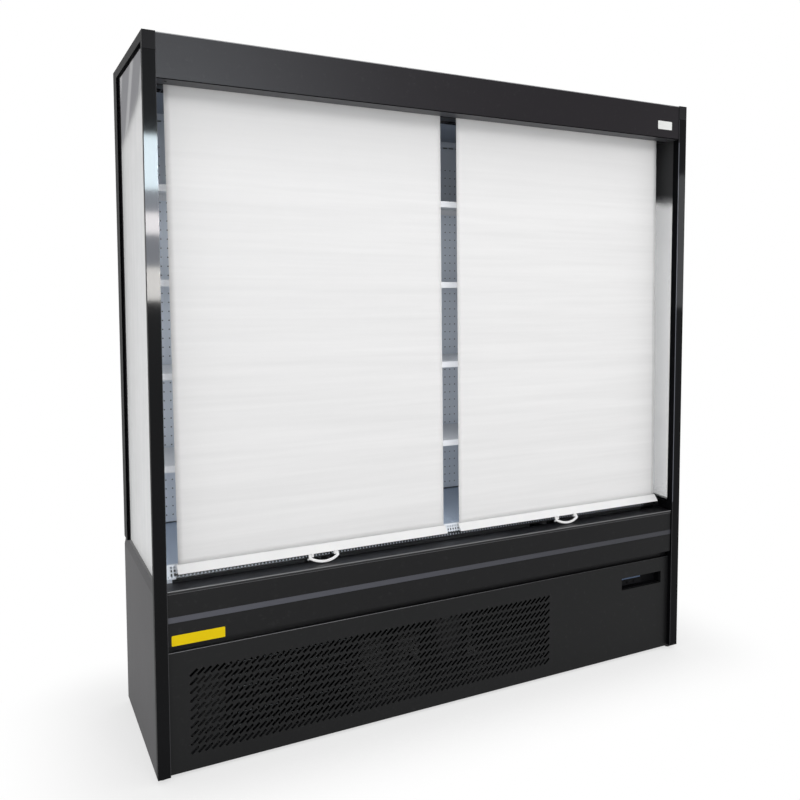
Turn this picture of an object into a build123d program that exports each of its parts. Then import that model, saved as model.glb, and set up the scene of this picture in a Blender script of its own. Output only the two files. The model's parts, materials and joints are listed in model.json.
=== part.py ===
"""Open multideck display fridge with two roller night blinds, in millimetres.

The origin is at floor level below the middle of the cabinet.  +X runs to the right as a
customer sees it, +Y from the open front to the back, and +Z up.  The blinds are pulled down.
"""
import os
from math import cos, radians, sin

from build123d import *

os.makedirs("parts", exist_ok=True)

# ------------------------------------------------------------------ driving dimensions
# cabinet
width = 1820
depth = 580
height = 2000
foot_height = 14
seat_gap = 0.3            # between a piece and the piece that carries it
bond_gap = 0.3            # sealant round the side glass
sheet = 1.2               # folded steel sheet

# welded side frames
post_width = 33
post_strip = 20           # part of the front post's side that shows
glass_lip = 10            # lip behind the glass edge
post_wall = 1.5
rear_post_depth = 65
top_rail_height = 26
bottom_rail_height = 35
sill_rail_height = 38
ledge_reach = 20          # ledges that carry the base, the tub and the roof
ledge_thickness = 4.5

# side glass and side panels
sill_height = 545         # top of the solid lower side
bevel_height = 25
glass_inset = 5
pane = 4
spacer_depth = 11
border_front = 10
border_top = 10
border_bottom = 16
border_rear = 55

# levelling feet
foot_radius = 13
foot_setback = 34         # from the front face of the post to the foot's centre
foot_inset = 17           # from the side face to the foot's centre
stem_radius = 5
stem_length = 18
running_clearance = 0.05
nut_plate = 6

# base frame and machine space
base_rail_width = 30
base_rail_height = 41
base_cross_rails = 3
rear_louvre = (90, 6)
rear_louvre_columns = 12
rear_louvre_rows = 8

# insulated tub, rear wall and roof
tub_bottom = 385
tub_floor = 40
tub_front_wall = 25
tub_end_wall = 15
tub_step = 11
rear_wall_thickness = 45
rear_skin_inset = 1.5
roof_thickness = 39
roof_cover = 3            # height of the side frames above the roof's top
drain_radius = 12
drain_wall = 2
drain_drop = 240
drain_x = 400
port_width = 48           # pipe port through the tub's floor
port_margin = 15          # port beyond the pipes' centre lines
port_x = 752

# kick plate
kick_setback = 19
kick_bottom = 10
kick_top = 352
kick_flange = 13
vent_left = -810          # centre of the first slot
vent_bottom = 65
vent_columns = 63
vent_rows = 10
vent_pitch_x = 18.6
vent_pitch_z = 24.5
vent_slot = (26, 7)
vent_angle = 40
window_left = 663         # cut-out in front of the controller
window_width = 180
window_bottom = 257
window_height = 43

# bumper and ledge
bumper_setback = 6
bumper_half_length = 875.5
bumper_bottom = 375
bumper_sheet = 1.5
baffle_lap = 14           # baffle below the top edge of the kick plate
stripe_bottom = 438.5
stripe_height = 16.5
stripe_depth = 3
ledge_top = 527.5
ledge_plate = 3
ledge_setback = 5
ledge_depth = 71
ledge_drop = 8
ledge_rear_drop = 13
ledge_edge_radius = 2.5

# bottom deck and return air grille
deck_front = 110          # from the front face of the posts
deck_front_height = 571
deck_back_height = 596
deck_sheet = 1
deck_flange = 15
grille_top_depth = 8
grille_foot = 88          # from the front face of the posts
grille_foot_height = 535.5
grille_slot_pitch = 9
grille_slot_width = 5
grille_rows = ((8, 6), (17, 6), (28, 8))    # distance down the face, slot height
deck_pan_count = 3
deck_pan_joint = 2
end_margin = 16           # grille and pans stop short of the side frames by this

# rear duct panel, uprights and shelves
duct_depth = 62
duct_bottom = 600
duct_slot = (18, 5)
duct_slot_pitch = 25
duct_slot_height = 1850
upright_width = 30
upright_depth = 12
upright_wall = 1.5
slot_width = 4
slot_height = 16
slots_per_shelf_pitch = 8
shelf_levels = 4
first_shelf = 840         # top of the lowest shelf
shelf_pitch = 262
shelf_front = 150         # from the front face of the posts
shelf_lip = 19
shelf_sheet = 1
shelf_joint = 6           # between the left and the right shelf
bracket_thickness = 2.5
bracket_root = 70
bracket_tip = 14
bracket_inset = 20        # bracket's tip behind the shelf lip
hook_length = 7
hook_height = 12
hook_offset = 27          # from the shelf's underside to the upper hook's middle

# canopy
fascia_bottom = 1881
fascia_setback = 2
fascia_flange = 68
fascia_upturn = 8
cassette_front = 84       # from the front face of the posts
cassette_back = 135
cassette_plate = 3
outlet_depth = 53
outlet_thickness = 18
outlet_cell = (24, 21)
outlet_wall = 4
ceiling_drop = 8          # fall of the ceiling towards the back
lamp_depth = 28
lamp_height = 13
lamp_inner = 60
lamp_outer = 840

# night blinds
blind_setback = 75        # from the front face of the posts to the fabric
blind_inner = 28
blind_outer = 841
fabric_thickness = 1
roller_radius = 21
roller_bore_depth = 14
roller_height = 1925
roller_overhang = 14      # roller beyond the fabric at both ends
pin_radius = 5
bar_overhang = 4          # bottom bar beyond the fabric at both ends
bar_shift = 5.5           # bottom bar off the fabric's middle, to the right
bar_bottom = 556
bar_height = 21
bar_lean = 20             # bottom edge of the bar in front of its top
bar_thickness = 7
handle_width = 84
handle_strap = 7.5
handle_thickness = 5
handle_shoulder = 9       # straight part below the pins
handle_lean = 35          # the handle rests on the ledge and leans to the front
handle_pin_drop = 4.9     # axis of the pins below the bar
lug_width = 7
lug_size = 9
handle_pin_radius = 2

# controller
recess_depth = 40
housing_wall = 1.5
controller_body = (96, 30, 17)
controller_inset = 10
display_size = (86, 6, 1)
key_radius = 4
key_stem_radius = 2
key_height = 1.5
key_travel = 1
key_spacing = 30

# refrigeration
compressor_x = 60
compressor_radius = 85
compressor_height = 190
compressor_dome = 40
compressor_lift = 12
compressor_plate = (210, 150, 3)
grommet_radius = 12
stub_radius = 9
stub_length = 14
condenser_x = (-700, -340)
condenser_depth = 45
condenser_height = 262
condenser_setback = 50
condenser_fins = 25
condenser_tubes = 7
fin_thickness = 0.8
tube_radius = 5
shroud_depth = 40
fan_opening = 118
fan_collar = 16
condenser_fan_tip = 113
condenser_hub = 26
condenser_blades = 5
condenser_motor = (38, 60)
motor_bracket = (44, 3)
evaporator_half_length = 700
evaporator_front = 220    # from the front face of the posts
evaporator_depth = 130
evaporator_height = 105
evaporator_lift = 15
evaporator_fins = 41
fan_plate_place = 150     # from the front face of the posts
fan_plate_height = 138
evaporator_fan_x = 400
evaporator_opening = 56
evaporator_fan_tip = 52
evaporator_hub = 15
evaporator_blades = 5
evaporator_motor = (27, 34)
motor_arm = (7, 3)
shaft_radius = 3
shaft_grip = 14
suction_radius = 6
liquid_radius = 4
pipe_bend = 26
tray_box = ((250, 560), (-110, 110))
tray_height = 48
electrical_box_x = (620, 800)
electrical_box_depth = 120
electrical_box_height = 210
gland_radius = 9
gland_place = (770, 250)

# ------------------------------------------------------------------ shared places
front = -depth / 2
back = depth / 2
inner_half = width / 2 - post_width                   # inner face of the side frames
body_half = inner_half - seat_gap                     # what stands between them
base_top = foot_height + ledge_thickness + seat_gap + base_rail_height
machine_floor = base_top + sheet
tub_front = front + post_strip + glass_lip + 2
tub_back = back - rear_skin_inset - rear_wall_thickness - seat_gap
tub_floor_top = tub_bottom + tub_floor
duct_face = tub_back - duct_depth                     # front of the perforated panel
roof_top = height - roof_cover
roof_bottom = roof_top - roof_thickness
glass_top = height - top_rail_height - bond_gap
pan_half = inner_half - end_margin
blind_y = front + blind_setback
evaporator_y = (front + evaporator_front, front + evaporator_front + evaporator_depth)
suction_y = evaporator_y[0] + evaporator_depth / 4
liquid_y = evaporator_y[1] - evaporator_depth / 4
roller_y = blind_y + fabric_thickness / 2 + seat_gap + roller_radius
SIDES = ((-1, "left"), (1, "right"))


# ------------------------------------------------------------------ small helpers
def block(x, y, z, mode=Mode.ADD):
    """A box between pairs of limits."""
    centre = tuple((low + high) / 2 for low, high in (x, y, z))
    size = tuple(high - low for low, high in (x, y, z))
    with Locations(centre):
        Box(*size, mode=mode)


def inward(side, outer, inner):
    """X limits from outer to inner millimetres inside one side face of the cabinet."""
    ends = (side * (width / 2 - outer), side * (width / 2 - inner))
    return min(ends), max(ends)


def mirrored(side, low, high):
    """X limits on one side of the middle, from distances low to high."""
    return (low, high) if side > 0 else (-high, -low)


def outline_along_x(points, x, mode=Mode.ADD):
    """A closed Y-Z outline, extruded between two X limits."""
    with BuildSketch(Plane.YZ.offset(x[0])) as section:
        with BuildLine():
            Polyline(*points, close=True)
        make_face()
    extrude(section.sketch, amount=x[1] - x[0], mode=mode)


def folded_along_x(points, x, thickness, side=Side.LEFT):
    """Sheet folded along a Y-Z line, extruded between two X limits."""
    with BuildSketch(Plane.YZ.offset(x[0])) as section:
        with BuildLine():
            Polyline(*points)
            offset(amount=thickness, side=side, kind=Kind.INTERSECTION)
        make_face()
    extrude(section.sketch, amount=x[1] - x[0])


def rod(start, end, radius, mode=Mode.ADD):
    """A round bar from one point to another."""
    direction = Vector(*end) - Vector(*start)
    with BuildSketch(Plane(origin=start, z_dir=direction)) as section:
        Circle(radius)
    extrude(section.sketch, amount=direction.length, mode=mode)


def slot_corners(x, y, length, breadth, angle=0):
    """Corners of a rectangular slot, turned about its middle."""
    turn = radians(angle)
    corners = ((-1, -1), (1, -1), (1, 1), (-1, 1))
    return [(x + (u * length * cos(turn) - v * breadth * sin(turn)) / 2,
             y + (u * length * sin(turn) + v * breadth * cos(turn)) / 2) for u, v in corners]


def slotted_sheet(plane, length, breadth, slots, thickness):
    """A flat rectangular sheet behind a plane, with slots given by their corners."""
    with BuildSketch(plane) as outline:
        Rectangle(length, breadth)
    holes = [Wire.make_polygon([plane.from_local_coords(corner) for corner in corners], close=True)
             for corners in slots]
    face = Face(outline.sketch.faces()[0].outer_wire(), holes)
    extrude(face, amount=thickness, dir=-plane.z_dir)


def finish(piece, name):
    """Label a piece and write its file."""
    piece.part.label = name
    export_step(piece.part, f"parts/{name}.step")


def fan_wheel(x, y, z, hub, tip, length, blades, chord, shaft_length):
    """Hub, pitched blades and a shaft that points to the back, about an axis along Y."""
    rod((x, y, z), (x, y + length, z), hub)
    for number in range(blades):
        angle = radians(360 * number / blades)
        outwards = (cos(angle), 0, sin(angle))
        root = (x + (hub - 2) * cos(angle), y + length / 2, z + (hub - 2) * sin(angle))
        with BuildSketch(Plane(origin=root, x_dir=(0, 1, 0), z_dir=outwards)) as section:
            Rectangle(chord, 2, rotation=55)
        extrude(section.sketch, amount=tip - hub)
    rod((x, y + length - 1, z), (x, y + length + shaft_length, z), shaft_radius)


# ------------------------------------------------------------------ side frames
def side_frame(side):
    """Welded tube frame: posts, rails, glass lip and the ledges that carry the rest."""
    strip_back = front + post_strip
    lip_back = strip_back + glass_lip
    rear_front = back - rear_post_depth
    rail_bottom = height - top_rail_height
    lip_x = inward(side, glass_inset + 2 * pane + spacer_depth + bond_gap, post_width)
    full_x = inward(side, 0, post_width)
    low_x = inward(side, sheet + seat_gap, post_width)
    sill_top = sill_height - sheet - seat_gap
    sill_x = inward(side, glass_inset + sheet + seat_gap, post_width)
    block(full_x, (front, strip_back), (foot_height, height))
    block(low_x, (strip_back, lip_back), (foot_height, sill_top - sill_rail_height))
    block(full_x, (rear_front, back), (sill_height + seat_gap, height))
    block(low_x, (rear_front, back), (foot_height, sill_top - sill_rail_height))
    block(sill_x, (rear_front, back), (sill_top - sill_rail_height, sill_height + seat_gap))
    block(full_x, (strip_back, rear_front), (rail_bottom, height))
    block(sill_x, (strip_back, rear_front), (sill_top - sill_rail_height, sill_top))
    block(low_x, (lip_back, rear_front), (foot_height, foot_height + bottom_rail_height))
    # lip that the glass is bonded against, all the way round
    block(lip_x, (strip_back, lip_back), (sill_top, rail_bottom))
    block(lip_x, (rear_front - glass_lip, rear_front), (sill_top, rail_bottom))
    block(lip_x, (lip_back, rear_front - glass_lip), (sill_top, sill_height + glass_lip))
    block(lip_x, (lip_back, rear_front - glass_lip), (rail_bottom - glass_lip, rail_bottom))
    # the tubes are hollow and open into each other
    hollow_x = inward(side, sheet + seat_gap + post_wall, post_width - post_wall)
    block(hollow_x, (front + post_wall, strip_back - post_wall),
          (foot_height + nut_plate, height - post_wall), Mode.SUBTRACT)
    block(hollow_x, (front + post_wall, lip_back - post_wall),
          (foot_height + nut_plate, sill_top - sill_rail_height), Mode.SUBTRACT)
    block(hollow_x, (rear_front + post_wall, back - post_wall),
          (foot_height + nut_plate, sill_top - sill_rail_height), Mode.SUBTRACT)
    block(hollow_x, (rear_front + post_wall, back - post_wall),
          (sill_height + 2 * post_wall, height - post_wall), Mode.SUBTRACT)
    block(hollow_x, (front + post_wall, back - post_wall),
          (rail_bottom + post_wall, height - post_wall), Mode.SUBTRACT)
    block(hollow_x, (front + post_wall, back - post_wall),
          (foot_height + nut_plate, foot_height + bottom_rail_height - post_wall),
          Mode.SUBTRACT)
    # ledges for the base frame, the tub and the roof
    reach_x = inward(side, post_width, post_width + ledge_reach)
    block(reach_x, (tub_front + 4, tub_back), (foot_height, foot_height + ledge_thickness))
    block(reach_x, (tub_front + 4, tub_back),
          (tub_bottom - seat_gap - ledge_thickness, tub_bottom - seat_gap))
    block(reach_x, (front + cassette_back + 5, tub_back),
          (roof_bottom - seat_gap - ledge_thickness, roof_bottom - seat_gap))
    for foot_y in (front + foot_setback, back - foot_setback - 10):
        foot_x = side * (width / 2 - foot_inset)
        rod((foot_x, foot_y, foot_height - 1), (foot_x, foot_y, foot_height + nut_plate + 1),
            stem_radius + running_clearance, Mode.SUBTRACT)


for side, name in SIDES:
    with BuildPart() as frame:
        side_frame(side)
    finish(frame, f"side_frame_{name}")

# ------------------------------------------------------------------ side glass
glass_y = (front + post_strip + bond_gap, back - rear_post_depth - bond_gap)
glass_z = (sill_height + bond_gap, glass_top)
for side, name in SIDES:
    with BuildPart() as glass:
        block(inward(side, glass_inset, glass_inset + pane), glass_y, glass_z)
        block(inward(side, glass_inset + pane + spacer_depth,
                     glass_inset + 2 * pane + spacer_depth), glass_y, glass_z)
    finish(glass, f"side_glass_{name}")

with BuildPart() as spacers:
    for side, name in SIDES:
        spacer_x = inward(side, glass_inset + pane, glass_inset + pane + spacer_depth)
        block(spacer_x, glass_y, glass_z)
        block(spacer_x, (glass_y[0] + border_front, glass_y[1] - border_rear),
              (glass_z[0] + border_bottom, glass_z[1] - border_top), Mode.SUBTRACT)
finish(spacers, "glass_spacers")

# ------------------------------------------------------------------ solid lower sides
for side, name in SIDES:
    bevel_foot = sill_height - bevel_height
    edge_x = side * (width / 2 - glass_inset)
    inner_x = side * (width / 2 - glass_inset - 2 * pane - spacer_depth)
    with BuildPart() as side_panel:
        with BuildSketch(Plane.XZ.offset(-back)) as section:
            with BuildLine():
                Polyline((side * width / 2, foot_height), (side * width / 2, bevel_foot),
                         (edge_x, sill_height), (inner_x, sill_height))
                offset(amount=sheet, side=Side.RIGHT if side < 0 else Side.LEFT,
                       kind=Kind.INTERSECTION)
            make_face()
        extrude(amount=depth - post_strip - seat_gap)
        # the rear post passes through the top strip
        block(inward(side, glass_inset + sheet, post_width),
              (back - rear_post_depth - seat_gap, back + 1),
              (sill_height - 2 * sheet, sill_height + 1), Mode.SUBTRACT)
    finish(side_panel, f"side_panel_{name}")

# ------------------------------------------------------------------ levelling feet
for side, name in SIDES:
    for foot_y, place in ((front + foot_setback, "front"), (back - foot_setback - 10, "rear")):
        foot_x = side * (width / 2 - foot_inset)
        with BuildPart() as foot:
            with BuildSketch(Plane(origin=(foot_x, foot_y, 0), z_dir=(0, 0, 1))) as pad:
                Circle(foot_radius)
            extrude(pad.sketch, amount=foot_height - seat_gap)
            chamfer(foot.faces().sort_by(Axis.Z)[0].edges(), 3)
            rod((foot_x, foot_y, foot_height - 1), (foot_x, foot_y, foot_height + stem_length),
                stem_radius)
        finish(foot, f"foot_{place}_{name}")

# ------------------------------------------------------------------ base frame
with BuildPart() as base_frame:
    rail_bottom = foot_height + ledge_thickness + seat_gap
    frame_y = (tub_front + 4, back - rear_skin_inset - sheet - seat_gap)
    run = frame_y[1] - frame_y[0] - base_rail_width
    rail_places = [frame_y[0] + run * number / (base_cross_rails - 1)
                   for number in range(base_cross_rails)]
    block((-body_half, body_half), frame_y, (base_top, machine_floor))
    for rail_y in rail_places:
        block((-body_half, body_half), (rail_y, rail_y + base_rail_width), (rail_bottom, base_top))
        block((-body_half - 1, body_half + 1), (rail_y + post_wall, rail_y + base_rail_width
              - post_wall), (rail_bottom - 1, base_top - post_wall), Mode.SUBTRACT)
finish(base_frame, "base_frame")

# ------------------------------------------------------------------ insulated tub
grille_y = front + grille_foot
grille_back = front + deck_front - seat_gap - sheet
step_top = deck_front_height - deck_flange - seat_gap
rear_step_top = deck_back_height - deck_flange - seat_gap
under_ledge = ledge_top - ledge_plate - seat_gap
under_lip = ledge_top - ledge_rear_drop - seat_gap
with BuildPart() as tub:
    block((-body_half, body_half), (tub_front, tub_back), (tub_bottom, tub_floor_top))
    block((-body_half, body_half), (tub_front, tub_front + tub_front_wall),
          (tub_bottom, under_ledge))
    for side, name in SIDES:
        end_x = inward(side, post_width + seat_gap, post_width + seat_gap + tub_end_wall)
        outline_along_x([(tub_front, tub_bottom), (tub_back, tub_bottom),
                         (tub_back, deck_back_height), (front + deck_front, deck_front_height),
                         (grille_y + 4, deck_front_height),
                         (grille_y - 8, grille_foot_height), (grille_y - 8, under_lip),
                         (tub_front + tub_front_wall, under_lip),
                         (tub_front + tub_front_wall, under_ledge),
                         (tub_front, under_ledge)], end_x)
        step_x = inward(side, post_width + seat_gap + tub_end_wall,
                        post_width + seat_gap + tub_end_wall + tub_step)
        outline_along_x([(grille_y - 8, tub_floor_top), (tub_back, tub_floor_top),
                         (tub_back, rear_step_top), (duct_face - 10, rear_step_top),
                         (front + deck_front + 5, step_top), (grille_y + 14, step_top),
                         (grille_y + 14, grille_foot_height - sheet - seat_gap),
                         (grille_y - 8, grille_foot_height - sheet - seat_gap)], step_x)
    rod((drain_x, 0, tub_floor_top), (drain_x, 0, tub_bottom - drain_drop), drain_radius)
    rod((drain_x, 0, tub_floor_top + 1), (drain_x, 0, tub_bottom - drain_drop - 1),
        drain_radius - drain_wall, Mode.SUBTRACT)
    block((port_x - port_width / 2, port_x + port_width / 2),
          (suction_y - port_margin, liquid_y + port_margin),
          (tub_bottom - 1, tub_floor_top + 1), Mode.SUBTRACT)
finish(tub, "insulated_tub")

# ------------------------------------------------------------------ rear wall and roof
with BuildPart() as rear_wall:
    block((-body_half, body_half), (tub_back + seat_gap, back - rear_skin_inset),
          (tub_bottom, roof_bottom - seat_gap))
finish(rear_wall, "rear_wall")

with BuildPart() as roof:
    block((-body_half, body_half), (front + fascia_setback + sheet + seat_gap,
          back - rear_skin_inset), (roof_bottom, roof_top))
finish(roof, "roof_panel")

with BuildPart() as rear_grille:
    grille_z = (foot_height + seat_gap, tub_bottom - seat_gap)
    with BuildSketch(Plane.XZ.offset(-(back - rear_skin_inset))) as sheet_outline:
        with Locations((0, sum(grille_z) / 2)):
            Rectangle(2 * body_half, grille_z[1] - grille_z[0])
            with GridLocations(2 * body_half / rear_louvre_columns, 26,
                               rear_louvre_columns, rear_louvre_rows):
                Rectangle(*rear_louvre, mode=Mode.SUBTRACT)
        with Locations(gland_place):
            Circle(gland_radius + seat_gap, mode=Mode.SUBTRACT)
    extrude(amount=sheet)
finish(rear_grille, "rear_grille")

# ------------------------------------------------------------------ rear duct panel
duct_top = fascia_bottom - ceiling_drop - seat_gap
with BuildPart() as duct_panel:
    with BuildSketch(Plane.XZ.offset(-(duct_face + sheet))) as face_outline:
        with Locations((0, (duct_bottom + duct_top) / 2)):
            Rectangle(2 * body_half, duct_top - duct_bottom)
        with Locations((0, duct_slot_height)):
            slots = int(2 * body_half / duct_slot_pitch) - 1
            with GridLocations(duct_slot_pitch, 1, slots, 1):
                Rectangle(*duct_slot, mode=Mode.SUBTRACT)
    extrude(amount=sheet)
    for flange_x in (-body_half, -sheet / 2, body_half - sheet):
        block((flange_x, flange_x + sheet), (duct_face + sheet, tub_back),
              (duct_bottom, duct_top))
finish(duct_panel, "rear_duct_panel")

# ------------------------------------------------------------------ uprights and shelves
shelf_tops = [first_shelf + shelf_pitch * level for level in range(shelf_levels)]
slot_pitch = shelf_pitch / slots_per_shelf_pitch
upright_front = duct_face - seat_gap - upright_depth
bracket_xs = [inner_half - upright_width + upright_wall + slot_width, upright_width / 3]
upright_top = duct_slot_height - 2 * duct_slot[1]
first_hook = first_shelf - shelf_sheet - seat_gap - hook_offset
slot_rise = (slot_height - hook_height) / 2 - seat_gap    # hooks rest on the slots' lower ends
slots_below = int((first_hook - duct_bottom - slot_height) / slot_pitch)
first_slot = first_hook + slot_rise - slot_pitch * slots_below
slot_count = int((upright_top - first_slot - slot_height) / slot_pitch) + 1
with BuildPart() as uprights:
    for centre_x in (-inner_half + upright_width / 2 + seat_gap, 0,
                     inner_half - upright_width / 2 - seat_gap):
        edges = (centre_x - upright_width / 2, centre_x + upright_width / 2)
        block(edges, (upright_front, duct_face - seat_gap), (duct_bottom, upright_top))
        block((edges[0] + upright_wall, edges[1] - upright_wall),
              (upright_front + upright_wall, duct_face), (duct_bottom - 1, upright_top + 1),
              Mode.SUBTRACT)
    slot_centres = [(side * place, first_slot + slot_pitch * number)
                    for side, name in SIDES for place in bracket_xs
                    for number in range(slot_count)]
    with BuildSketch(Plane.XZ.offset(-upright_front - upright_wall - 1)) as slot_marks:
        with Locations(*slot_centres):
            Rectangle(slot_width, slot_height)
    extrude(slot_marks.sketch, amount=upright_wall + 2, mode=Mode.SUBTRACT)
finish(uprights, "shelf_uprights")

for level, top in enumerate(shelf_tops, start=1):
    with BuildPart() as shelf:
        for side, name in SIDES:
            shelf_x = mirrored(side, shelf_joint / 2, pan_half)
            shelf_y = (front + shelf_front, upright_front - seat_gap)
            block(shelf_x, shelf_y, (top - shelf_lip, top))
            block((shelf_x[0] + shelf_sheet, shelf_x[1] - shelf_sheet),
                  (shelf_y[0] + shelf_sheet, shelf_y[1] - shelf_sheet),
                  (top - shelf_lip - 1, top - shelf_sheet), Mode.SUBTRACT)
    finish(shelf, f"shelf_{level}")

with BuildPart() as brackets:
    tip_y = front + shelf_front + bracket_inset
    root_y = upright_front - seat_gap - 2 * shelf_sheet
    hook_tip = upright_front + upright_wall + hook_length
    bracket_planes = [Plane(origin=(side * place - bracket_thickness / 2, 0,
                                    top - shelf_sheet - seat_gap),
                            x_dir=(0, 1, 0), z_dir=(1, 0, 0))
                      for top in shelf_tops for side, name in SIDES for place in bracket_xs]
    # the hooks pass below the shelf's rear flange into the upright's slots
    hook_line = []
    for hook_middle in (-hook_offset - slot_pitch, -hook_offset):
        hook_line += [(root_y, hook_middle - hook_height / 2),
                      (hook_tip, hook_middle - hook_height / 2),
                      (hook_tip, hook_middle + hook_height / 2),
                      (root_y, hook_middle + hook_height / 2)]
    with BuildSketch(*bracket_planes):
        with BuildLine():
            Polyline((tip_y, 0), (tip_y, -bracket_tip), (root_y, -bracket_root), *hook_line,
                     (root_y, 0), close=True)
        make_face()
    extrude(amount=bracket_thickness)
finish(brackets, "shelf_brackets")

# ------------------------------------------------------------------ bottom deck
with BuildPart() as deck_pans:
    pan_pitch = 2 * pan_half / deck_pan_count
    for number in range(deck_pan_count):
        pan_left = -pan_half + pan_pitch * number
        folded_along_x([(front + deck_front, deck_front_height - deck_flange),
                        (front + deck_front, deck_front_height),
                        (duct_face - seat_gap, deck_back_height),
                        (duct_face - seat_gap, deck_back_height - deck_flange)],
                       (pan_left + deck_pan_joint / 2, pan_left + pan_pitch - deck_pan_joint / 2),
                       deck_sheet, Side.RIGHT)
finish(deck_pans, "deck_pans")

with BuildPart() as return_grille:
    grille_x = (-pan_half, pan_half)
    top_front = grille_back + sheet - grille_top_depth
    folded_along_x([(top_front, deck_front_height), (grille_back + sheet, deck_front_height),
                    (grille_back + sheet, deck_front_height - deck_flange)],
                   grille_x, sheet, Side.RIGHT)
    block(grille_x, (grille_y - 6, grille_y + sheet),
          (grille_foot_height - sheet, grille_foot_height))
    slope = Vector(0, top_front - grille_y, deck_front_height - grille_foot_height)
    middle = Vector(0, grille_y, grille_foot_height) + slope / 2
    face_plane = Plane(origin=middle, x_dir=(1, 0, 0), z_dir=Vector(1, 0, 0).cross(slope))
    slot_columns = int(2 * pan_half / grille_slot_pitch) - 1
    slots = [slot_corners(grille_slot_pitch * (column - (slot_columns - 1) / 2),
                          slope.length / 2 - distance, grille_slot_width, slot_run)
             for column in range(slot_columns) for distance, slot_run in grille_rows]
    slotted_sheet(face_plane, 2 * pan_half, slope.length, slots, sheet)
finish(return_grille, "return_grille")

# ------------------------------------------------------------------ ledge and bumper
with BuildPart() as ledge:
    ledge_front = front + ledge_setback
    with BuildSketch(Plane.YZ.offset(-bumper_half_length)) as section:
        with BuildLine():
            Polyline((ledge_front, ledge_top - ledge_drop), (ledge_front, ledge_top),
                     (ledge_front + ledge_depth, ledge_top),
                     (ledge_front + ledge_depth, ledge_top - ledge_rear_drop))
            offset(amount=ledge_plate, side=Side.RIGHT, kind=Kind.INTERSECTION)
        make_face()
    extrude(section.sketch, amount=2 * bumper_half_length)
    nose = ledge.edges().filter_by(Axis.X).group_by(Axis.Z)[-1].sort_by(Axis.Y)[0]
    fillet(nose, ledge_edge_radius)
finish(ledge, "bumper_ledge")

bumper_top = ledge_top - ledge_drop - seat_gap
bumper_face = front + bumper_setback
baffle_y = front + kick_setback + sheet + kick_flange + seat_gap
with BuildPart() as bumper:
    groove = bumper_face + stripe_depth
    # a baffle behind the kick plate's flange closes the slit below the bumper
    folded_along_x([(baffle_y, kick_top - baffle_lap), (baffle_y, bumper_bottom),
                    (bumper_face, bumper_bottom),
                    (bumper_face, stripe_bottom), (groove, stripe_bottom),
                    (groove, stripe_bottom + stripe_height),
                    (bumper_face, stripe_bottom + stripe_height), (bumper_face, bumper_top),
                    (tub_front - seat_gap, bumper_top)],
                   (-bumper_half_length, bumper_half_length), bumper_sheet, Side.RIGHT)
finish(bumper, "bumper_panel")

with BuildPart() as stripe:
    block((-bumper_half_length, bumper_half_length), (bumper_face + seat_gap, groove - 0.1),
          (stripe_bottom + seat_gap, stripe_bottom + stripe_height - seat_gap))
finish(stripe, "bumper_stripe")

# ------------------------------------------------------------------ kick plate
kick_face = front + kick_setback
window_x = (window_left, window_left + window_width)
window_z = (window_bottom, window_bottom + window_height)
with BuildPart() as kick_plate:
    flange_y = (kick_face + sheet, kick_face + sheet + kick_flange)
    for low, high in ((kick_bottom, kick_bottom + sheet), (kick_top - sheet, kick_top)):
        block((-body_half, body_half), flange_y, (low, high))
    for low, high in ((-body_half, -body_half + sheet), (body_half - sheet, body_half)):
        block((low, high), flange_y, (kick_bottom + sheet, kick_top - sheet))
    # folded rim of the cut-out
    block((window_x[0] - sheet, window_x[1] + sheet), flange_y,
          (window_z[0] - sheet, window_z[1] + sheet))
    block(window_x, (flange_y[0] - 1, flange_y[1] + 1), window_z, Mode.SUBTRACT)
    kick_middle = (kick_bottom + kick_top) / 2
    slots = [slot_corners(vent_left + vent_pitch_x * column,
                          vent_bottom + vent_pitch_z * row - kick_middle, *vent_slot, vent_angle)
             for column in range(vent_columns) for row in range(vent_rows)]
    window = slot_corners(sum(window_x) / 2, sum(window_z) / 2 - kick_middle,
                          window_width, window_height)
    slotted_sheet(Plane(origin=(0, kick_face, kick_middle), x_dir=(1, 0, 0), z_dir=(0, -1, 0)),
                  2 * body_half, kick_top - kick_bottom, slots + [window], sheet)
finish(kick_plate, "kick_plate")

# ------------------------------------------------------------------ controller
recess_x = (window_x[0] - sheet - seat_gap, window_x[1] + sheet + seat_gap)
recess_z = (window_z[0] - sheet - seat_gap, window_z[1] + sheet + seat_gap)
recess_front = kick_face + sheet + seat_gap
recess_back = recess_front + recess_depth
body_x = (window_left + controller_inset, window_left + controller_inset + controller_body[0])
body_z = (sum(window_z) / 2 - controller_body[1] / 2, sum(window_z) / 2 + controller_body[1] / 2)
body_front = recess_back - controller_body[2]
key_z = body_z[0] + controller_body[1] / 3
key_xs = [(sum(body_x) / 2 + offset_x, name)
          for offset_x, name in ((-key_spacing / 2, "left"), (key_spacing / 2, "right"))]
with BuildPart() as housing:
    block((recess_x[0] - housing_wall, recess_x[1] + housing_wall),
          (recess_front, recess_back + housing_wall),
          (recess_z[0] - housing_wall, recess_z[1] + housing_wall))
    block(recess_x, (recess_front - 1, recess_back), recess_z, Mode.SUBTRACT)
    block(body_x, (body_front, recess_back + 1), body_z)
    for key_x, name in key_xs:
        rod((key_x, body_front - 1, key_z), (key_x, body_front + 8, key_z),
            key_stem_radius + running_clearance, Mode.SUBTRACT)
finish(housing, "controller_housing")

with BuildPart() as display:
    display_x = sum(body_x) / 2
    block((display_x - display_size[0] / 2, display_x + display_size[0] / 2),
          (body_front - display_size[2], body_front),
          (body_z[1] - 2 - display_size[1], body_z[1] - 2))
finish(display, "controller_display")

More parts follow.
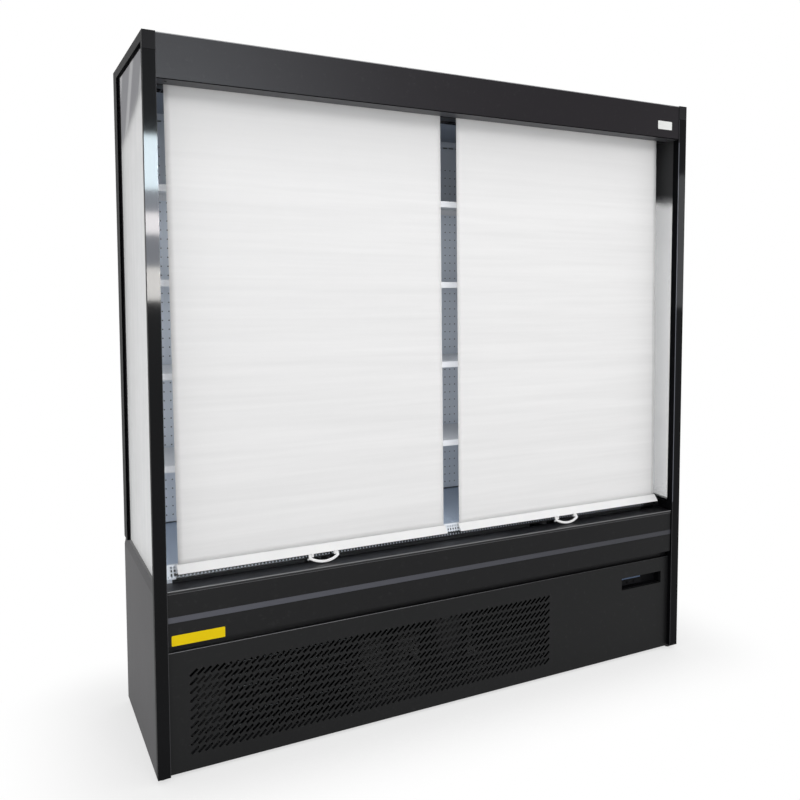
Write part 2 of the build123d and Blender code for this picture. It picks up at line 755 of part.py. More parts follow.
for key_x, name in key_xs:
    with BuildPart() as key:
        cap_back = body_front - key_travel - 0.2
        rod((key_x, cap_back - key_height, key_z), (key_x, cap_back, key_z), key_radius)
        rod((key_x, cap_back, key_z), (key_x, body_front + 6, key_z), key_stem_radius)
    finish(key, f"controller_key_{name}")

# ------------------------------------------------------------------ canopy
fascia_face = front + fascia_setback
with BuildPart() as fascia:
    folded_along_x([(fascia_face + 22, roof_top + seat_gap + sheet),
                    (fascia_face, roof_top + seat_gap + sheet), (fascia_face, fascia_bottom),
                    (fascia_face + fascia_flange, fascia_bottom),
                    (fascia_face + fascia_flange, fascia_bottom + fascia_upturn)],
                   (-body_half, body_half), sheet, Side.LEFT)
finish(fascia, "fascia")

cassette_low = fascia_bottom
roller_spans = [(mirrored(side, blind_inner - roller_overhang, blind_outer + roller_overhang))
                for side, name in SIDES]
with BuildPart() as cassette:
    folded_along_x([(front + cassette_front, cassette_low + fascia_upturn),
                    (front + cassette_front, cassette_low),
                    (front + cassette_back, cassette_low),
                    (front + cassette_back, roof_bottom - seat_gap)],
                   (-body_half, body_half), sheet, Side.LEFT)
    plate_y = (roller_y - 10, front + cassette_back - sheet)
    for low, high in roller_spans:
        for end, inside in ((low, 1), (high, -1)):
            plate_x = sorted((end - inside * seat_gap, end - inside * (seat_gap + cassette_plate)))
            block(plate_x, plate_y, (cassette_low + sheet, roof_bottom - seat_gap))
            rod((end - inside * seat_gap, roller_y, roller_height),
                (end + inside * (roller_bore_depth - 2), roller_y, roller_height), pin_radius)
finish(cassette, "blind_cassette")

outlet_front = front + cassette_back + seat_gap
outlet_back = outlet_front + outlet_depth
with BuildPart() as outlet:
    block((-body_half, body_half), (outlet_front, outlet_back),
          (fascia_bottom, fascia_bottom + outlet_thickness))
    with BuildSketch(Plane.XY.offset(fascia_bottom - 1)) as cells:
        with Locations((0, (outlet_front + outlet_back) / 2)):
            pitch_x = outlet_cell[0] + outlet_wall
            with GridLocations(pitch_x, outlet_cell[1] + outlet_wall,
                               int((2 * body_half - outlet_wall) / pitch_x), 2):
                Rectangle(*outlet_cell)
    extrude(cells.sketch, amount=outlet_thickness + 2, mode=Mode.SUBTRACT)
finish(outlet, "air_outlet_grille")

with BuildPart() as ceiling:
    folded_along_x([(outlet_back + seat_gap, fascia_bottom + outlet_thickness),
                    (outlet_back + seat_gap, fascia_bottom),
                    (duct_face + sheet, fascia_bottom - ceiling_drop)],
                   (-body_half, body_half), sheet, Side.LEFT)
finish(ceiling, "ceiling_panel")

with BuildPart() as lamps:
    lamp_top = fascia_bottom - seat_gap
    lamp_front = front + cassette_front + 4
    for side, name in SIDES:
        outline_along_x([(lamp_front, lamp_top), (lamp_front + lamp_depth, lamp_top),
                         (lamp_front + lamp_depth - 6, lamp_top - lamp_height),
                         (lamp_front + 6, lamp_top - lamp_height)],
                        mirrored(side, lamp_inner, lamp_outer))
finish(lamps, "canopy_lamps")

# ------------------------------------------------------------------ night blinds
bar_top = bar_bottom + bar_height
handle_x = (blind_inner + blind_outer) / 2
pivot_y = blind_y - bar_lean - bar_thickness / 2 + 3
pivot_z = bar_bottom - handle_pin_drop
lean = radians(handle_lean)
handle_reach = ((pivot_z - ledge_top - seat_gap - handle_thickness / 2 * sin(lean)) / cos(lean)
                - handle_strap / 2)
for side, name in SIDES:
    with BuildPart() as roller:
        roller_x = mirrored(side, blind_inner - roller_overhang, blind_outer + roller_overhang)
        rod((roller_x[0], roller_y, roller_height), (roller_x[1], roller_y, roller_height),
            roller_radius)
        for end, inside in ((roller_x[0], 1), (roller_x[1], -1)):
            rod((end - inside, roller_y, roller_height),
                (end + inside * roller_bore_depth, roller_y, roller_height),
                pin_radius + running_clearance, Mode.SUBTRACT)
    finish(roller, f"roller_{name}")

    with BuildPart() as fabric:
        block(mirrored(side, blind_inner, blind_outer),
              (blind_y - fabric_thickness / 2, blind_y + fabric_thickness / 2),
              (bar_top + seat_gap, roller_height))
    finish(fabric, f"blind_fabric_{name}")

    lug_outer = handle_width / 2 - handle_strap / 2 - seat_gap
    handle_middle = side * handle_x + bar_shift
    bar_x = [end + bar_shift for end in mirrored(side, blind_inner - bar_overhang,
                                                 blind_outer + bar_overhang)]
    with BuildPart() as bar:
        outline_along_x([(blind_y - bar_thickness / 2, bar_top),
                         (blind_y + bar_thickness / 2, bar_top),
                         (blind_y - bar_lean + bar_thickness / 2, bar_bottom),
                         (blind_y - bar_lean - bar_thickness / 2, bar_bottom)],
                        bar_x)
        for lug_side in (-1, 1):
            lug_x = sorted((handle_middle + lug_side * lug_outer,
                            handle_middle + lug_side * (lug_outer - lug_width)))
            block(lug_x, (pivot_y - lug_size / 2, pivot_y + lug_size / 2 - 1),
                  (pivot_z - lug_size / 2, bar_bottom + 2))
            rod((lug_x[0] - 1, pivot_y, pivot_z), (lug_x[1] + 1, pivot_y, pivot_z),
                handle_pin_radius + running_clearance, Mode.SUBTRACT)
    finish(bar, f"bottom_bar_{name}")

    with BuildPart() as handle:
        half = handle_width / 2
        leaning = Plane(origin=(handle_middle, pivot_y, pivot_z), x_dir=(1, 0, 0),
                        z_dir=(0, -cos(lean), sin(lean)))
        with BuildSketch(leaning.offset(-handle_thickness / 2)) as loop:
            with BuildLine():
                Line((-half, 0), (-half, -handle_shoulder))
                sag = ThreePointArc((-half, -handle_shoulder), (0, -handle_reach),
                                    (half, -handle_shoulder))
                Line(sag @ 1, (half, 0))
                offset(amount=handle_strap / 2, kind=Kind.ARC)
            make_face()
        extrude(loop.sketch, amount=handle_thickness)
        for pin_side in (-1, 1):
            pin_start = handle_middle + pin_side * half
            rod((pin_start, pivot_y, pivot_z),
                (pin_start - pin_side * (handle_strap / 2 + seat_gap + lug_width + 1),
                 pivot_y, pivot_z), handle_pin_radius)
    finish(handle, f"blind_handle_{name}")

# ------------------------------------------------------------------ compressor
cx, cy = compressor_x, suction_y
shell_bottom = machine_floor + compressor_lift
shell_top = shell_bottom + compressor_height
with BuildPart() as compressor:
    with BuildSketch(Plane.XZ.offset(-cy)) as shell:
        with BuildLine():
            Polyline((cx, shell_bottom), (cx + compressor_radius, shell_bottom),
                     (cx + compressor_radius, shell_top - compressor_dome))
            ThreePointArc((cx + compressor_radius, shell_top - compressor_dome),
                          (cx + compressor_radius * 0.72, shell_top - compressor_dome * 0.25),
                          (cx, shell_top))
            Line((cx, shell_top), (cx, shell_bottom))
        make_face()
    revolve(shell.sketch, Axis((cx, cy, 0), (0, 0, 1)))
    plate_x = (cx - compressor_plate[0] / 2, cx + compressor_plate[0] / 2)
    plate_y = (cy - compressor_plate[1] / 2, cy + compressor_plate[1] / 2)
    block(plate_x, plate_y, (shell_bottom - compressor_plate[2], shell_bottom))
    for foot_x in (plate_x[0] + grommet_radius, plate_x[1] - grommet_radius):
        for foot_y in (plate_y[0] + grommet_radius, plate_y[1] - grommet_radius):
            rod((foot_x, foot_y, machine_floor + seat_gap), (foot_x, foot_y, shell_bottom + 4),
                grommet_radius)
    rod((cx, cy, shell_top - 4), (cx, cy, shell_top + stub_length), stub_radius)
    stub_z = shell_bottom + compressor_height / 2
    rod((cx - compressor_radius + 2, cy, stub_z),
        (cx - compressor_radius - stub_length, cy, stub_z), stub_radius)
finish(compressor, "compressor")

# ------------------------------------------------------------------ condenser and its fan
condenser_y = (front + condenser_setback, front + condenser_setback + condenser_depth)
condenser_z = (machine_floor + seat_gap, machine_floor + seat_gap + condenser_height)
condenser_mid_y = sum(condenser_y) / 2
with BuildPart() as condenser:
    coil_middle = (sum(condenser_x) / 2, condenser_mid_y, sum(condenser_z) / 2)
    coil_length = condenser_x[1] - condenser_x[0]
    with Locations(coil_middle):
        with GridLocations((coil_length - fin_thickness) / (condenser_fins - 1), 1,
                           condenser_fins, 1):
            Box(fin_thickness, condenser_depth, condenser_height)
    tube_places = [(coil_middle[0], condenser_mid_y,
                    condenser_z[0] + condenser_height * (number + 0.5) / condenser_tubes)
                   for number in range(condenser_tubes)]
    with Locations(*tube_places):
        Cylinder(tube_radius, coil_length + 16, rotation=(0, 90, 0))
finish(condenser, "condenser_coil")

fan_x = sum(condenser_x) / 2
fan_z = sum(condenser_z) / 2
shroud_y = (condenser_y[1] + seat_gap, condenser_y[1] + seat_gap + shroud_depth)
with BuildPart() as shroud:
    block(condenser_x, shroud_y, condenser_z)
    block((condenser_x[0] + sheet, condenser_x[1] - sheet), (shroud_y[0] - 1, shroud_y[1] - sheet),
          (condenser_z[0] + sheet, condenser_z[1] - sheet), Mode.SUBTRACT)
    rod((fan_x, shroud_y[1] - sheet, fan_z), (fan_x, shroud_y[1] + fan_collar, fan_z),
        fan_opening + sheet)
    rod((fan_x, shroud_y[1] - 2 * sheet, fan_z), (fan_x, shroud_y[1] + fan_collar + 1, fan_z),
        fan_opening, Mode.SUBTRACT)
finish(shroud, "condenser_fan_shroud")

fan_front = shroud_y[1] - 10
fan_length = 22
motor_y = fan_front + fan_length + 4
with BuildPart() as condenser_fan:
    fan_wheel(fan_x, fan_front, fan_z, condenser_hub, condenser_fan_tip, fan_length,
              condenser_blades, 26, shaft_grip + 4)
finish(condenser_fan, "condenser_fan")

with BuildPart() as condenser_motor_piece:
    motor_r, motor_length = condenser_motor
    rod((fan_x, motor_y, fan_z), (fan_x, motor_y + motor_length, fan_z), motor_r)
    block((fan_x - motor_bracket[0] / 2, fan_x + motor_bracket[0] / 2),
          (motor_y + motor_length - motor_bracket[1], motor_y + motor_length),
          (machine_floor + seat_gap, fan_z))
    block((fan_x - motor_bracket[0] / 2, fan_x + motor_bracket[0] / 2),
          (motor_y + motor_length - 40, motor_y + motor_length),
          (machine_floor + seat_gap, machine_floor + seat_gap + motor_bracket[1]))
    rod((fan_x, motor_y - 1, fan_z), (fan_x, motor_y + shaft_grip + 2, fan_z),
        shaft_radius + running_clearance, Mode.SUBTRACT)
finish(condenser_motor_piece, "condenser_fan_motor")

# ------------------------------------------------------------------ evaporator and its fans
evaporator_z = (tub_floor_top + evaporator_lift,
                tub_floor_top + evaporator_lift + evaporator_height)
high_z = evaporator_z[1] - evaporator_height / 4
low_z = evaporator_z[0] + evaporator_height / 4
with BuildPart() as evaporator:
    fin_pitch = (2 * evaporator_half_length - fin_thickness) / (evaporator_fins - 1)
    with Locations((0, sum(evaporator_y) / 2, sum(evaporator_z) / 2)):
        with GridLocations(fin_pitch, 1, evaporator_fins, 1):
            Box(fin_thickness, evaporator_depth, evaporator_height)
    for side, name in SIDES:
        end_x = mirrored(side, evaporator_half_length - fin_thickness, evaporator_half_length)
        block(end_x, evaporator_y, (tub_floor_top + seat_gap, evaporator_z[0]))
    with Locations(*[(0, tube_y, tube_z) for tube_y in (suction_y, liquid_y)
                     for tube_z in (low_z, high_z)]):
        Cylinder(tube_radius, 2 * evaporator_half_length + 16, rotation=(0, 90, 0))
finish(evaporator, "evaporator_coil")

fan_plate_y = (front + fan_plate_place, front + fan_plate_place + post_wall)
wheel_z = tub_floor_top + fan_plate_height / 2
plate_half = inner_half - tub_end_wall - tub_step - 2 * seat_gap
with BuildPart() as fan_plate:
    block((-plate_half, plate_half), fan_plate_y,
          (tub_floor_top + seat_gap, tub_floor_top + fan_plate_height))
    for side, name in SIDES:
        rod((side * evaporator_fan_x, fan_plate_y[0] - 1, wheel_z),
            (side * evaporator_fan_x, fan_plate_y[1] + 1, wheel_z),
            evaporator_opening, Mode.SUBTRACT)
finish(fan_plate, "evaporator_fan_plate")

wheel_length = 14
wheel_front = fan_plate_y[0] - wheel_length - 1
with BuildPart() as fan_motors:
    motor_r, motor_length = evaporator_motor
    for side, name in SIDES:
        centre_x = side * evaporator_fan_x
        arm_y = (fan_plate_y[1] + 0.1, fan_plate_y[1] + 0.1 + motor_arm[1])
        rod((centre_x, arm_y[0], wheel_z), (centre_x, arm_y[0] + motor_length, wheel_z), motor_r)
        reach = evaporator_opening + 6
        block((centre_x - reach, centre_x + reach), arm_y,
              (wheel_z - motor_arm[0] / 2, wheel_z + motor_arm[0] / 2))
        block((centre_x - motor_arm[0] / 2, centre_x + motor_arm[0] / 2), arm_y,
              (wheel_z - reach, wheel_z + reach))
        rod((centre_x, arm_y[0] - 1, wheel_z), (centre_x, arm_y[0] + shaft_grip, wheel_z),
            shaft_radius + running_clearance, Mode.SUBTRACT)
finish(fan_motors, "evaporator_fan_motors")

for side, name in SIDES:
    with BuildPart() as wheel:
        shaft_reach = arm_y[0] - (wheel_front + wheel_length) + shaft_grip - 2
        fan_wheel(side * evaporator_fan_x, wheel_front, wheel_z, evaporator_hub,
                  evaporator_fan_tip, wheel_length, evaporator_blades, 15, shaft_reach)
    finish(wheel, f"evaporator_fan_{name}")

# ------------------------------------------------------------------ refrigerant pipes
evaporator_end = evaporator_half_length + 8 + seat_gap
condenser_end = condenser_x[1] + 8 + seat_gap
under_tub = tub_bottom - 40
tube_step = condenser_height / condenser_tubes
pipe_routes = (
    ((evaporator_end, suction_y, high_z), (port_x, suction_y, high_z),
     (port_x, suction_y, under_tub), (cx, cy, under_tub),
     (cx, cy, shell_top + stub_length + seat_gap)),
    ((cx - compressor_radius - stub_length - seat_gap, cy, stub_z), (cx - 170, cy, stub_z),
     (cx - 170, cy, condenser_z[1] - tube_step / 2), (cx - 170, condenser_mid_y,
     condenser_z[1] - tube_step / 2), (condenser_end, condenser_mid_y,
     condenser_z[1] - tube_step / 2)),
    ((condenser_end, condenser_mid_y, condenser_z[0] + tube_step / 2),
     (condenser_end + 100, condenser_mid_y, condenser_z[0] + tube_step / 2),
     (condenser_end + 100, liquid_y, condenser_z[0] + tube_step / 2),
     (condenser_end + 100, liquid_y, under_tub - 30), (port_x, liquid_y, under_tub - 30),
     (port_x, liquid_y, low_z), (evaporator_end, liquid_y, low_z)),
)
with BuildPart() as pipes:
    for points, radius in zip(pipe_routes, (suction_radius, liquid_radius, liquid_radius)):
        with BuildLine() as route:
            FilletPolyline(*points, radius=pipe_bend)
        with BuildSketch(Plane(origin=points[0], z_dir=Vector(*points[1]) - Vector(*points[0]))) as bore:
            Circle(radius)
        sweep(bore.sketch, path=route.line)
finish(pipes, "refrigerant_pipes")

# ------------------------------------------------------------------ tray and electrical box
with BuildPart() as tray:
    tray_x, tray_y = tray_box
    tray_z = (machine_floor + seat_gap, machine_floor + seat_gap + tray_height)
    block(tray_x, tray_y, tray_z)
    block((tray_x[0] + sheet, tray_x[1] - sheet), (tray_y[0] + sheet, tray_y[1] - sheet),
          (tray_z[0] + sheet, tray_z[1] + 1), Mode.SUBTRACT)
finish(tray, "evaporation_tray")

with BuildPart() as electrical_box:
    box_back = back - rear_skin_inset - sheet - seat_gap
    block(electrical_box_x, (box_back - electrical_box_depth, box_back),
          (machine_floor + seat_gap, machine_floor + seat_gap + electrical_box_height))
    fillet(electrical_box.edges().filter_by(Axis.Y), 4)
    rod((gland_place[0], box_back - 2, gland_place[1]), (gland_place[0], back, gland_place[1]),
        gland_radius)
    rod((gland_place[0], box_back - 20, gland_place[1]),
        (gland_place[0], back + 1, gland_place[1]), gland_radius / 2, Mode.SUBTRACT)
finish(electrical_box, "electrical_box")
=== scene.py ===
"""Finishes, blinds, small fittings and the studio for an open multideck display fridge."""

import json
import math

import bmesh
import bpy
from mathutils import Matrix, Vector


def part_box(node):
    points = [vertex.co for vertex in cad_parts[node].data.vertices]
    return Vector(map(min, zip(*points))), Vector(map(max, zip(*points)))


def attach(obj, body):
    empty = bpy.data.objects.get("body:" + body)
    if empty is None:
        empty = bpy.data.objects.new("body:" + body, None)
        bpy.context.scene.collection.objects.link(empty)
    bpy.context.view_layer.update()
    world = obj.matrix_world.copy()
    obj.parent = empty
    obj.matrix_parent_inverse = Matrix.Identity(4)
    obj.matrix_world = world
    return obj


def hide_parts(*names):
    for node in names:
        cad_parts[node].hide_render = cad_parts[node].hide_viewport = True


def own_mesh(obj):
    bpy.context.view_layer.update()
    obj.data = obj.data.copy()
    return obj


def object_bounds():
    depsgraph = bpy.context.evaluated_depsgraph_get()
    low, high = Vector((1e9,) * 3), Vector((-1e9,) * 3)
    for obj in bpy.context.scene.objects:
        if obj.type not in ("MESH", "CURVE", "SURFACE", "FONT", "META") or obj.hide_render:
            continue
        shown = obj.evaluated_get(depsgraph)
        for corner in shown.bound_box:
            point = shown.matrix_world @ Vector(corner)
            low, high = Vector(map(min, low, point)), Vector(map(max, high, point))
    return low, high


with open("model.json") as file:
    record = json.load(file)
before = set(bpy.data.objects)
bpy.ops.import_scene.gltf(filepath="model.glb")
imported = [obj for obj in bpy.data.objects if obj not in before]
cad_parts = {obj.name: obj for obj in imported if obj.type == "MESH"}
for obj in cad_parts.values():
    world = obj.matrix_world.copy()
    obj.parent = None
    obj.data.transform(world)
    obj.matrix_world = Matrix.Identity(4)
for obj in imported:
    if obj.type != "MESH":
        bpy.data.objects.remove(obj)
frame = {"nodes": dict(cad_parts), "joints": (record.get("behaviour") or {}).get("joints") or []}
CAD_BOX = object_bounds()

bl_info = {
    "name": "Multideck display fridge",
    "version": (1, 0, 0),
    "blender": (4, 5, 0),
    "location": "View3D > Sidebar > Display fridge",
    "description": "Finishes, night blinds and fittings for an open multideck display fridge",
    "category": "Object",
}

BLACK = (0.004, 0.004, 0.005)
GLASS_PRINT = (0.006, 0.006, 0.007)
# tone of the painted highlight on glossy edges
PAINTED_EDGE_HIGHLIGHT = (0.16, 0.16, 0.165)
DUST_TONE = (0.42, 0.42, 0.42)
SPECK_TONE = (0.4, 0.4, 0.4)

# how a pattern is stretched: along the cabinet, up it, or not at all
ALONG = (1, 10, 10)
UPRIGHT = (10, 10, 1)
EVEN = (1, 1, 1)

# outputs of the Texture Coordinate, Layer Weight, Mix and Light Path nodes
OBJECT = 3
FACING = 1
MIXED_COLOUR = 2
CAMERA_RAY, GLOSSY_RAY, TRANSMISSION_RAY = 0, 3, 6


# ------------------------------------------------------------------ shader expressions
class Value:
    """A socket that takes part in Python arithmetic; each operation adds a Math node."""

    def __init__(self, nodes, socket):
        self.nodes = nodes
        self.socket = socket

    def math(self, operation, *operands):
        """A Math node with these operands."""
        inputs = dict(enumerate(operands))
        return self.nodes.node("ShaderNodeMath", {"operation": operation}, inputs)[0]

    def __add__(self, other):
        return self.math("ADD", self, other)

    __radd__ = __add__

    def __sub__(self, other):
        return self.math("SUBTRACT", self, other)

    def __rsub__(self, other):
        return self.math("SUBTRACT", other, self)

    def __mul__(self, other):
        return self.math("MULTIPLY", self, other)

    __rmul__ = __mul__

    def __abs__(self):
        return self.math("ABSOLUTE", self)

    def __lt__(self, other):
        return self.math("LESS_THAN", self, other)

    def __gt__(self, other):
        return self.math("GREATER_THAN", self, other)

    def power(self, exponent):
        return self.math("POWER", self, exponent)

    def larger(self, other):
        return self.math("MAXIMUM", self, other)

    def wrapped(self, low, high):
        return self.math("WRAP", self, high, low)

    def sine(self):
        return self.math("SINE", self)

    def step(self, low, high):
        """0 below low, 1 above high, smooth between."""
        settings = {"interpolation_type": "SMOOTHSTEP"}
        inputs = {"Value": self, "From Min": low, "From Max": high}
        return self.nodes.node("ShaderNodeMapRange", settings, inputs)[0]


class Nodes:
    """A node tree, with the one method that adds nodes to it."""

    def __init__(self, tree):
        self.tree = tree

    def node(self, kind, settings=None, inputs=None):
        """Add a node with its settings, then its inputs, and return its outputs as values."""
        made = self.tree.nodes.new(kind)
        for name, value in (settings or {}).items():
            setattr(made, name, value)
        for name, value in (inputs or {}).items():
            self.feed(made.inputs[name], value)
        return self.outputs(made)

    def outputs(self, node):
        """The outputs of a node as values."""
        return [Value(self, output) for output in node.outputs]

    def feed(self, socket, value):
        """Link a value to a socket, or set the socket to a number or a colour."""
        if isinstance(value, Value):
            self.tree.links.new(value.socket, socket)
        elif socket.type == "RGBA":
            socket.default_value = (*value, 1)
        else:
            socket.default_value = value

    def in_view(self):
        """1 for what the camera sees straight, in a reflection or through glass."""
        path = self.node("ShaderNodeLightPath")
        return path[CAMERA_RAY].larger(path[GLOSSY_RAY]).larger(path[TRANSMISSION_RAY])

    def blend(self, factor, first, second):
        """Blend two shaders."""
        return self.node("ShaderNodeMixShader", None, {0: factor, 1: first, 2: second})[0]


class Finish(Nodes):
    """A material, its Principled shader and the nodes that feed it."""

    def __init__(self, name, **shader):
        self.material = bpy.data.materials.new(name)
        self.material.use_nodes = True
        super().__init__(self.material.node_tree)
        self.shader = self.tree.nodes["Principled BSDF"]
        self.set(**shader)

    def set(self, **shader):
        """Set or link inputs of the Principled shader; base_color stands for Base Color."""
        for key, value in shader.items():
            name = {"ior": "IOR", "specular": "Specular IOR Level"}.get(key)
            self.feed(self.shader.inputs[name or key.replace("_", " ").title()], value)

    def place(self, stretch, offset=(0, 0, 0)):
        """Coordinates in metres on the piece, stretched and moved."""
        place = self.node("ShaderNodeTexCoord")[OBJECT]
        inputs = {"Vector": place, "Location": offset, "Scale": stretch}
        return self.node("ShaderNodeMapping", None, inputs)[0]

    def axes(self):
        """The three coordinates as separate values."""
        place = self.node("ShaderNodeTexCoord")[OBJECT]
        return self.node("ShaderNodeSeparateXYZ", None, {0: place})

    def noise(self, scale, stretch=EVEN, detail=3, rough=0.5, offset=(0, 0, 0)):
        """Cloudy noise from 0 to 1."""
        inputs = {"Vector": self.place(stretch, offset), "Scale": scale, "Detail": detail,
                  "Roughness": rough}
        return self.node("ShaderNodeTexNoise", None, inputs)[0]

    def cells(self, scale):
        """Distance to the nearest of many scattered points."""
        inputs = {"Vector": self.place(EVEN), "Scale": scale}
        return self.node("ShaderNodeTexVoronoi", {"feature": "F1"}, inputs)[0]

    def mix(self, factor, first, second):
        """Blend two colours."""
        inputs = {0: factor, 6: first, 7: second}
        return self.node("ShaderNodeMix", {"data_type": "RGBA"}, inputs)[MIXED_COLOUR]

    def bump(self, height, distance, strength):
        """Relief of that depth in metres, from a height of 0 to 1."""
        inputs = {"Height": height, "Distance": distance, "Strength": strength}
        return self.node("ShaderNodeBump", None, inputs)[0]


def shade(colour, factor):
    """A colour made lighter or darker."""
    return tuple(channel * factor for channel in colour[:3])


# ------------------------------------------------------------------ finishes
def powder_coat(name, colour, roughness=0.38, streaks=0.0, dust=0.05, grain=EVEN, specular=0.3,
                zones=()):
    """Powder-coated sheet: orange peel, faint rubbing along the sheet and a little dust.

    Each zone is a test of the three coordinates and the tone painted there; in this script the
    zones paint highlights and shade.
    """
    finish = Finish(name, specular=specular)
    cloud = finish.noise(2.2, detail=4)
    peel = finish.noise(420, detail=2)
    rubbing = finish.noise(14, stretch=grain, detail=5, rough=0.65)
    dusting = finish.noise(55, detail=6, rough=0.7).step(0.55, 0.80) * cloud
    tone = finish.mix(cloud, shade(colour, 0.86), shade(colour, 1.14))
    tone = finish.mix(dusting * dust, tone, DUST_TONE)
    for test, zone_tone in zones:
        tone = finish.mix(test(*finish.axes()), tone, zone_tone)
    rough = roughness * 0.86 + cloud * (0.16 * roughness) + rubbing * (0.30 * streaks)
    finish.set(base_color=tone, roughness=rough + dusting * 0.10,
               normal=finish.bump(peel, 0.00012, 0.35))
    return finish.material


def moulded(name, colour, roughness=0.45, texture=0.00008, specular=0.5):
    """Moulded plastic with a fine spark-eroded grain and soft clouding."""
    finish = Finish(name, specular=specular)
    cloud = finish.noise(9, detail=3)
    grain = finish.noise(700, detail=2)
    finish.set(base_color=finish.mix(cloud, shade(colour, 0.93), shade(colour, 1.05)),
               roughness=roughness + cloud * 0.10 - 0.05, normal=finish.bump(grain, texture, 0.4))
    return finish.material


def gloss_black(name, colour, roughness, specular, edge=None):
    """Glossy plastic with dust specks, fine wiping marks and, where asked, a painted highlight
    along an edge.
    """
    finish = Finish(name, specular=specular)
    specks = finish.cells(260) < 0.045
    wiping = finish.noise(30, stretch=(1, 8, 8), detail=5, rough=0.7)
    cloud = finish.noise(3, detail=3)
    tone = finish.mix(specks * 0.35, colour, SPECK_TONE)
    if edge:
        # painted highlight along the asked edge
        tone = finish.mix(edge(*finish.axes()), tone, PAINTED_EDGE_HIGHLIGHT)
    finish.set(base_color=tone,
               roughness=roughness + wiping * 0.06 + cloud * 0.03 + specks * 0.25,
               normal=finish.bump(finish.noise(160, detail=2), 0.00003, 0.2))
    return finish.material


def rolled_metal(name, colour, roughness, spangle=0.0, stretch=(1, 40, 40)):
    """Bare sheet metal with its rolling grain, and zinc spangle where asked."""
    finish = Finish(name, metallic=1.0)
    grain = finish.noise(60, stretch=stretch, detail=4, rough=0.6)
    cloud = finish.noise(5, detail=4)
    flakes = finish.cells(70)
    tone = finish.mix(cloud * 0.6 + flakes * spangle, shade(colour, 0.82), shade(colour, 1.12))
    finish.set(base_color=tone,
               roughness=roughness - 0.06 + grain * 0.12 + flakes * (spangle * 0.3),
               normal=finish.bump(grain, 0.00004, 0.3))
    return finish.material


# ------------------------------------------------------------------ mesh helpers
def slab(bm, low, high):
    """A box between two corners."""
    low, high = Vector(low), Vector(high)
    made = bmesh.ops.create_cube(bm, size=1)["verts"]
    bmesh.ops.scale(bm, vec=high - low, verts=made)
    bmesh.ops.translate(bm, vec=(low + high) / 2, verts=made)


def disc(bm, centre, radius, depth, direction, segments, tip=None):
    """A round bar along a direction, narrowed to the tip radius; returns its vertices."""
    made = bmesh.ops.create_cone(bm, cap_ends=True, segments=segments, radius1=radius,
                                 radius2=radius if tip is None else tip, depth=depth)["verts"]
    turn = Vector((0, 0, 1)).rotation_difference(Vector(direction)).to_matrix()
    bmesh.ops.rotate(bm, cent=(0, 0, 0), matrix=turn, verts=made)
    bmesh.ops.translate(bm, vec=centre, verts=made)
    return made


def soften(bm, width, segments, edges):
    """Round the given edges."""
    bmesh.ops.bevel(bm, geom=edges, offset=width, affect="EDGES", segments=segments,
                    profile=0.5, material=-1, clamp_overlap=True)


def round_corners(bm, thickness, radius):
    """Round the four corners of a thin plate that faces the front, and break its edges."""
    corners = [edge for edge in bm.edges
               if abs(edge.verts[0].co.y - edge.verts[1].co.y) > thickness / 2]
    soften(bm, radius, 4, corners)
    sharp = [edge for edge in bm.edges
             if edge.is_manifold and edge.calc_face_angle(0) > math.radians(30)]
    soften(bm, thickness / 4, 1, sharp)


def screw(bm, place, direction):
    """A pan head with a round recess, standing on a face."""
    direction = Vector(direction).normalized()
    radius = 0.0042
    depth = radius * 0.5
    made = disc(bm, Vector(place) + direction * depth / 2, radius, depth, direction, 18,
                radius * 0.72)
    top = max({face for vert in made for face in vert.link_faces},
              key=lambda face: face.calc_center_median().dot(direction))
    bmesh.ops.inset_region(bm, faces=[top], thickness=radius * 0.32, depth=0)
    bmesh.ops.translate(bm, vec=-direction * depth * 0.6, verts=top.verts)


def spread(first, last, count):
    """Evenly spaced places from first to last."""
    return [first + step * (last - first) / (count - 1) for step in range(count)]


def piece(name, bm, finish, body, replaces=()):
    """Turn a bmesh into a finished piece that rides on a body."""
    bmesh.ops.recalc_face_normals(bm, faces=bm.faces)
    mesh = bpy.data.meshes.new(name)
    bm.to_mesh(mesh)
    bm.free()
    mesh.materials.append(finish)
    mesh.polygons.foreach_set("use_smooth", [True] * len(mesh.polygons))
    mesh.set_sharp_from_angle(angle=math.radians(35))
    made = bpy.data.objects.new(name, mesh)
    bpy.context.scene.collection.objects.link(made)
    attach(made, body)
    if replaces:
        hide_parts(*replaces)
    return made


def coat(finish, *nodes):
    """Put a finish on CAD nodes."""
    for node in nodes:
        slots = frame["nodes"][node].data.materials
        slots.clear()
        slots.append(finish)


# ------------------------------------------------------------------ settings
def colour_setting(name, default, description):
    """A colour that a user may change."""
    return bpy.props.FloatVectorProperty(name=name, description=description, subtype="COLOR",
                                         size=3, min=0, max=1, default=default)


def number_setting(name, default, description, unit="NONE"):
    """A number that a user may change; lengths are in metres and angles in radians."""
    return bpy.props.FloatProperty(name=name, description=description, unit=unit,
                                   default=default, precision=4)


class FridgePaint(bpy.types.PropertyGroup):
    """Colours of the painted sheet metal."""

    frame: colour_setting("Frame", (0.0042, 0.0043, 0.005), "Posts and rails")
    fascia: colour_setting("Fascia", (0.0085, 0.0064, 0.0090), "Top front panel")
    side: colour_setting("Lower side", (0.060, 0.059, 0.063), "Solid lower side panels")
    bumper: colour_setting("Bumper", (0.0065, 0.0065, 0.0072), "Panel below the ledge")
    kick: colour_setting("Kick plate", (0.0085, 0.0087, 0.0092), "Slotted lower front panel")
    liner: colour_setting("Liner", (0.74, 0.80, 0.88), "Perforated back panel and uprights")
    shelf: colour_setting("Shelves", (0.78, 0.80, 0.83), "Shelves and brackets")
    deck: colour_setting("Deck", (0.46, 0.54, 0.66), "Sloping bottom pans")
    grille: colour_setting("Return grille", (0.78, 0.82, 0.88), "Slotted return air grille")
    stripe: colour_setting("Stripe", (0.052, 0.054, 0.070), "Insert in the bumper's groove")


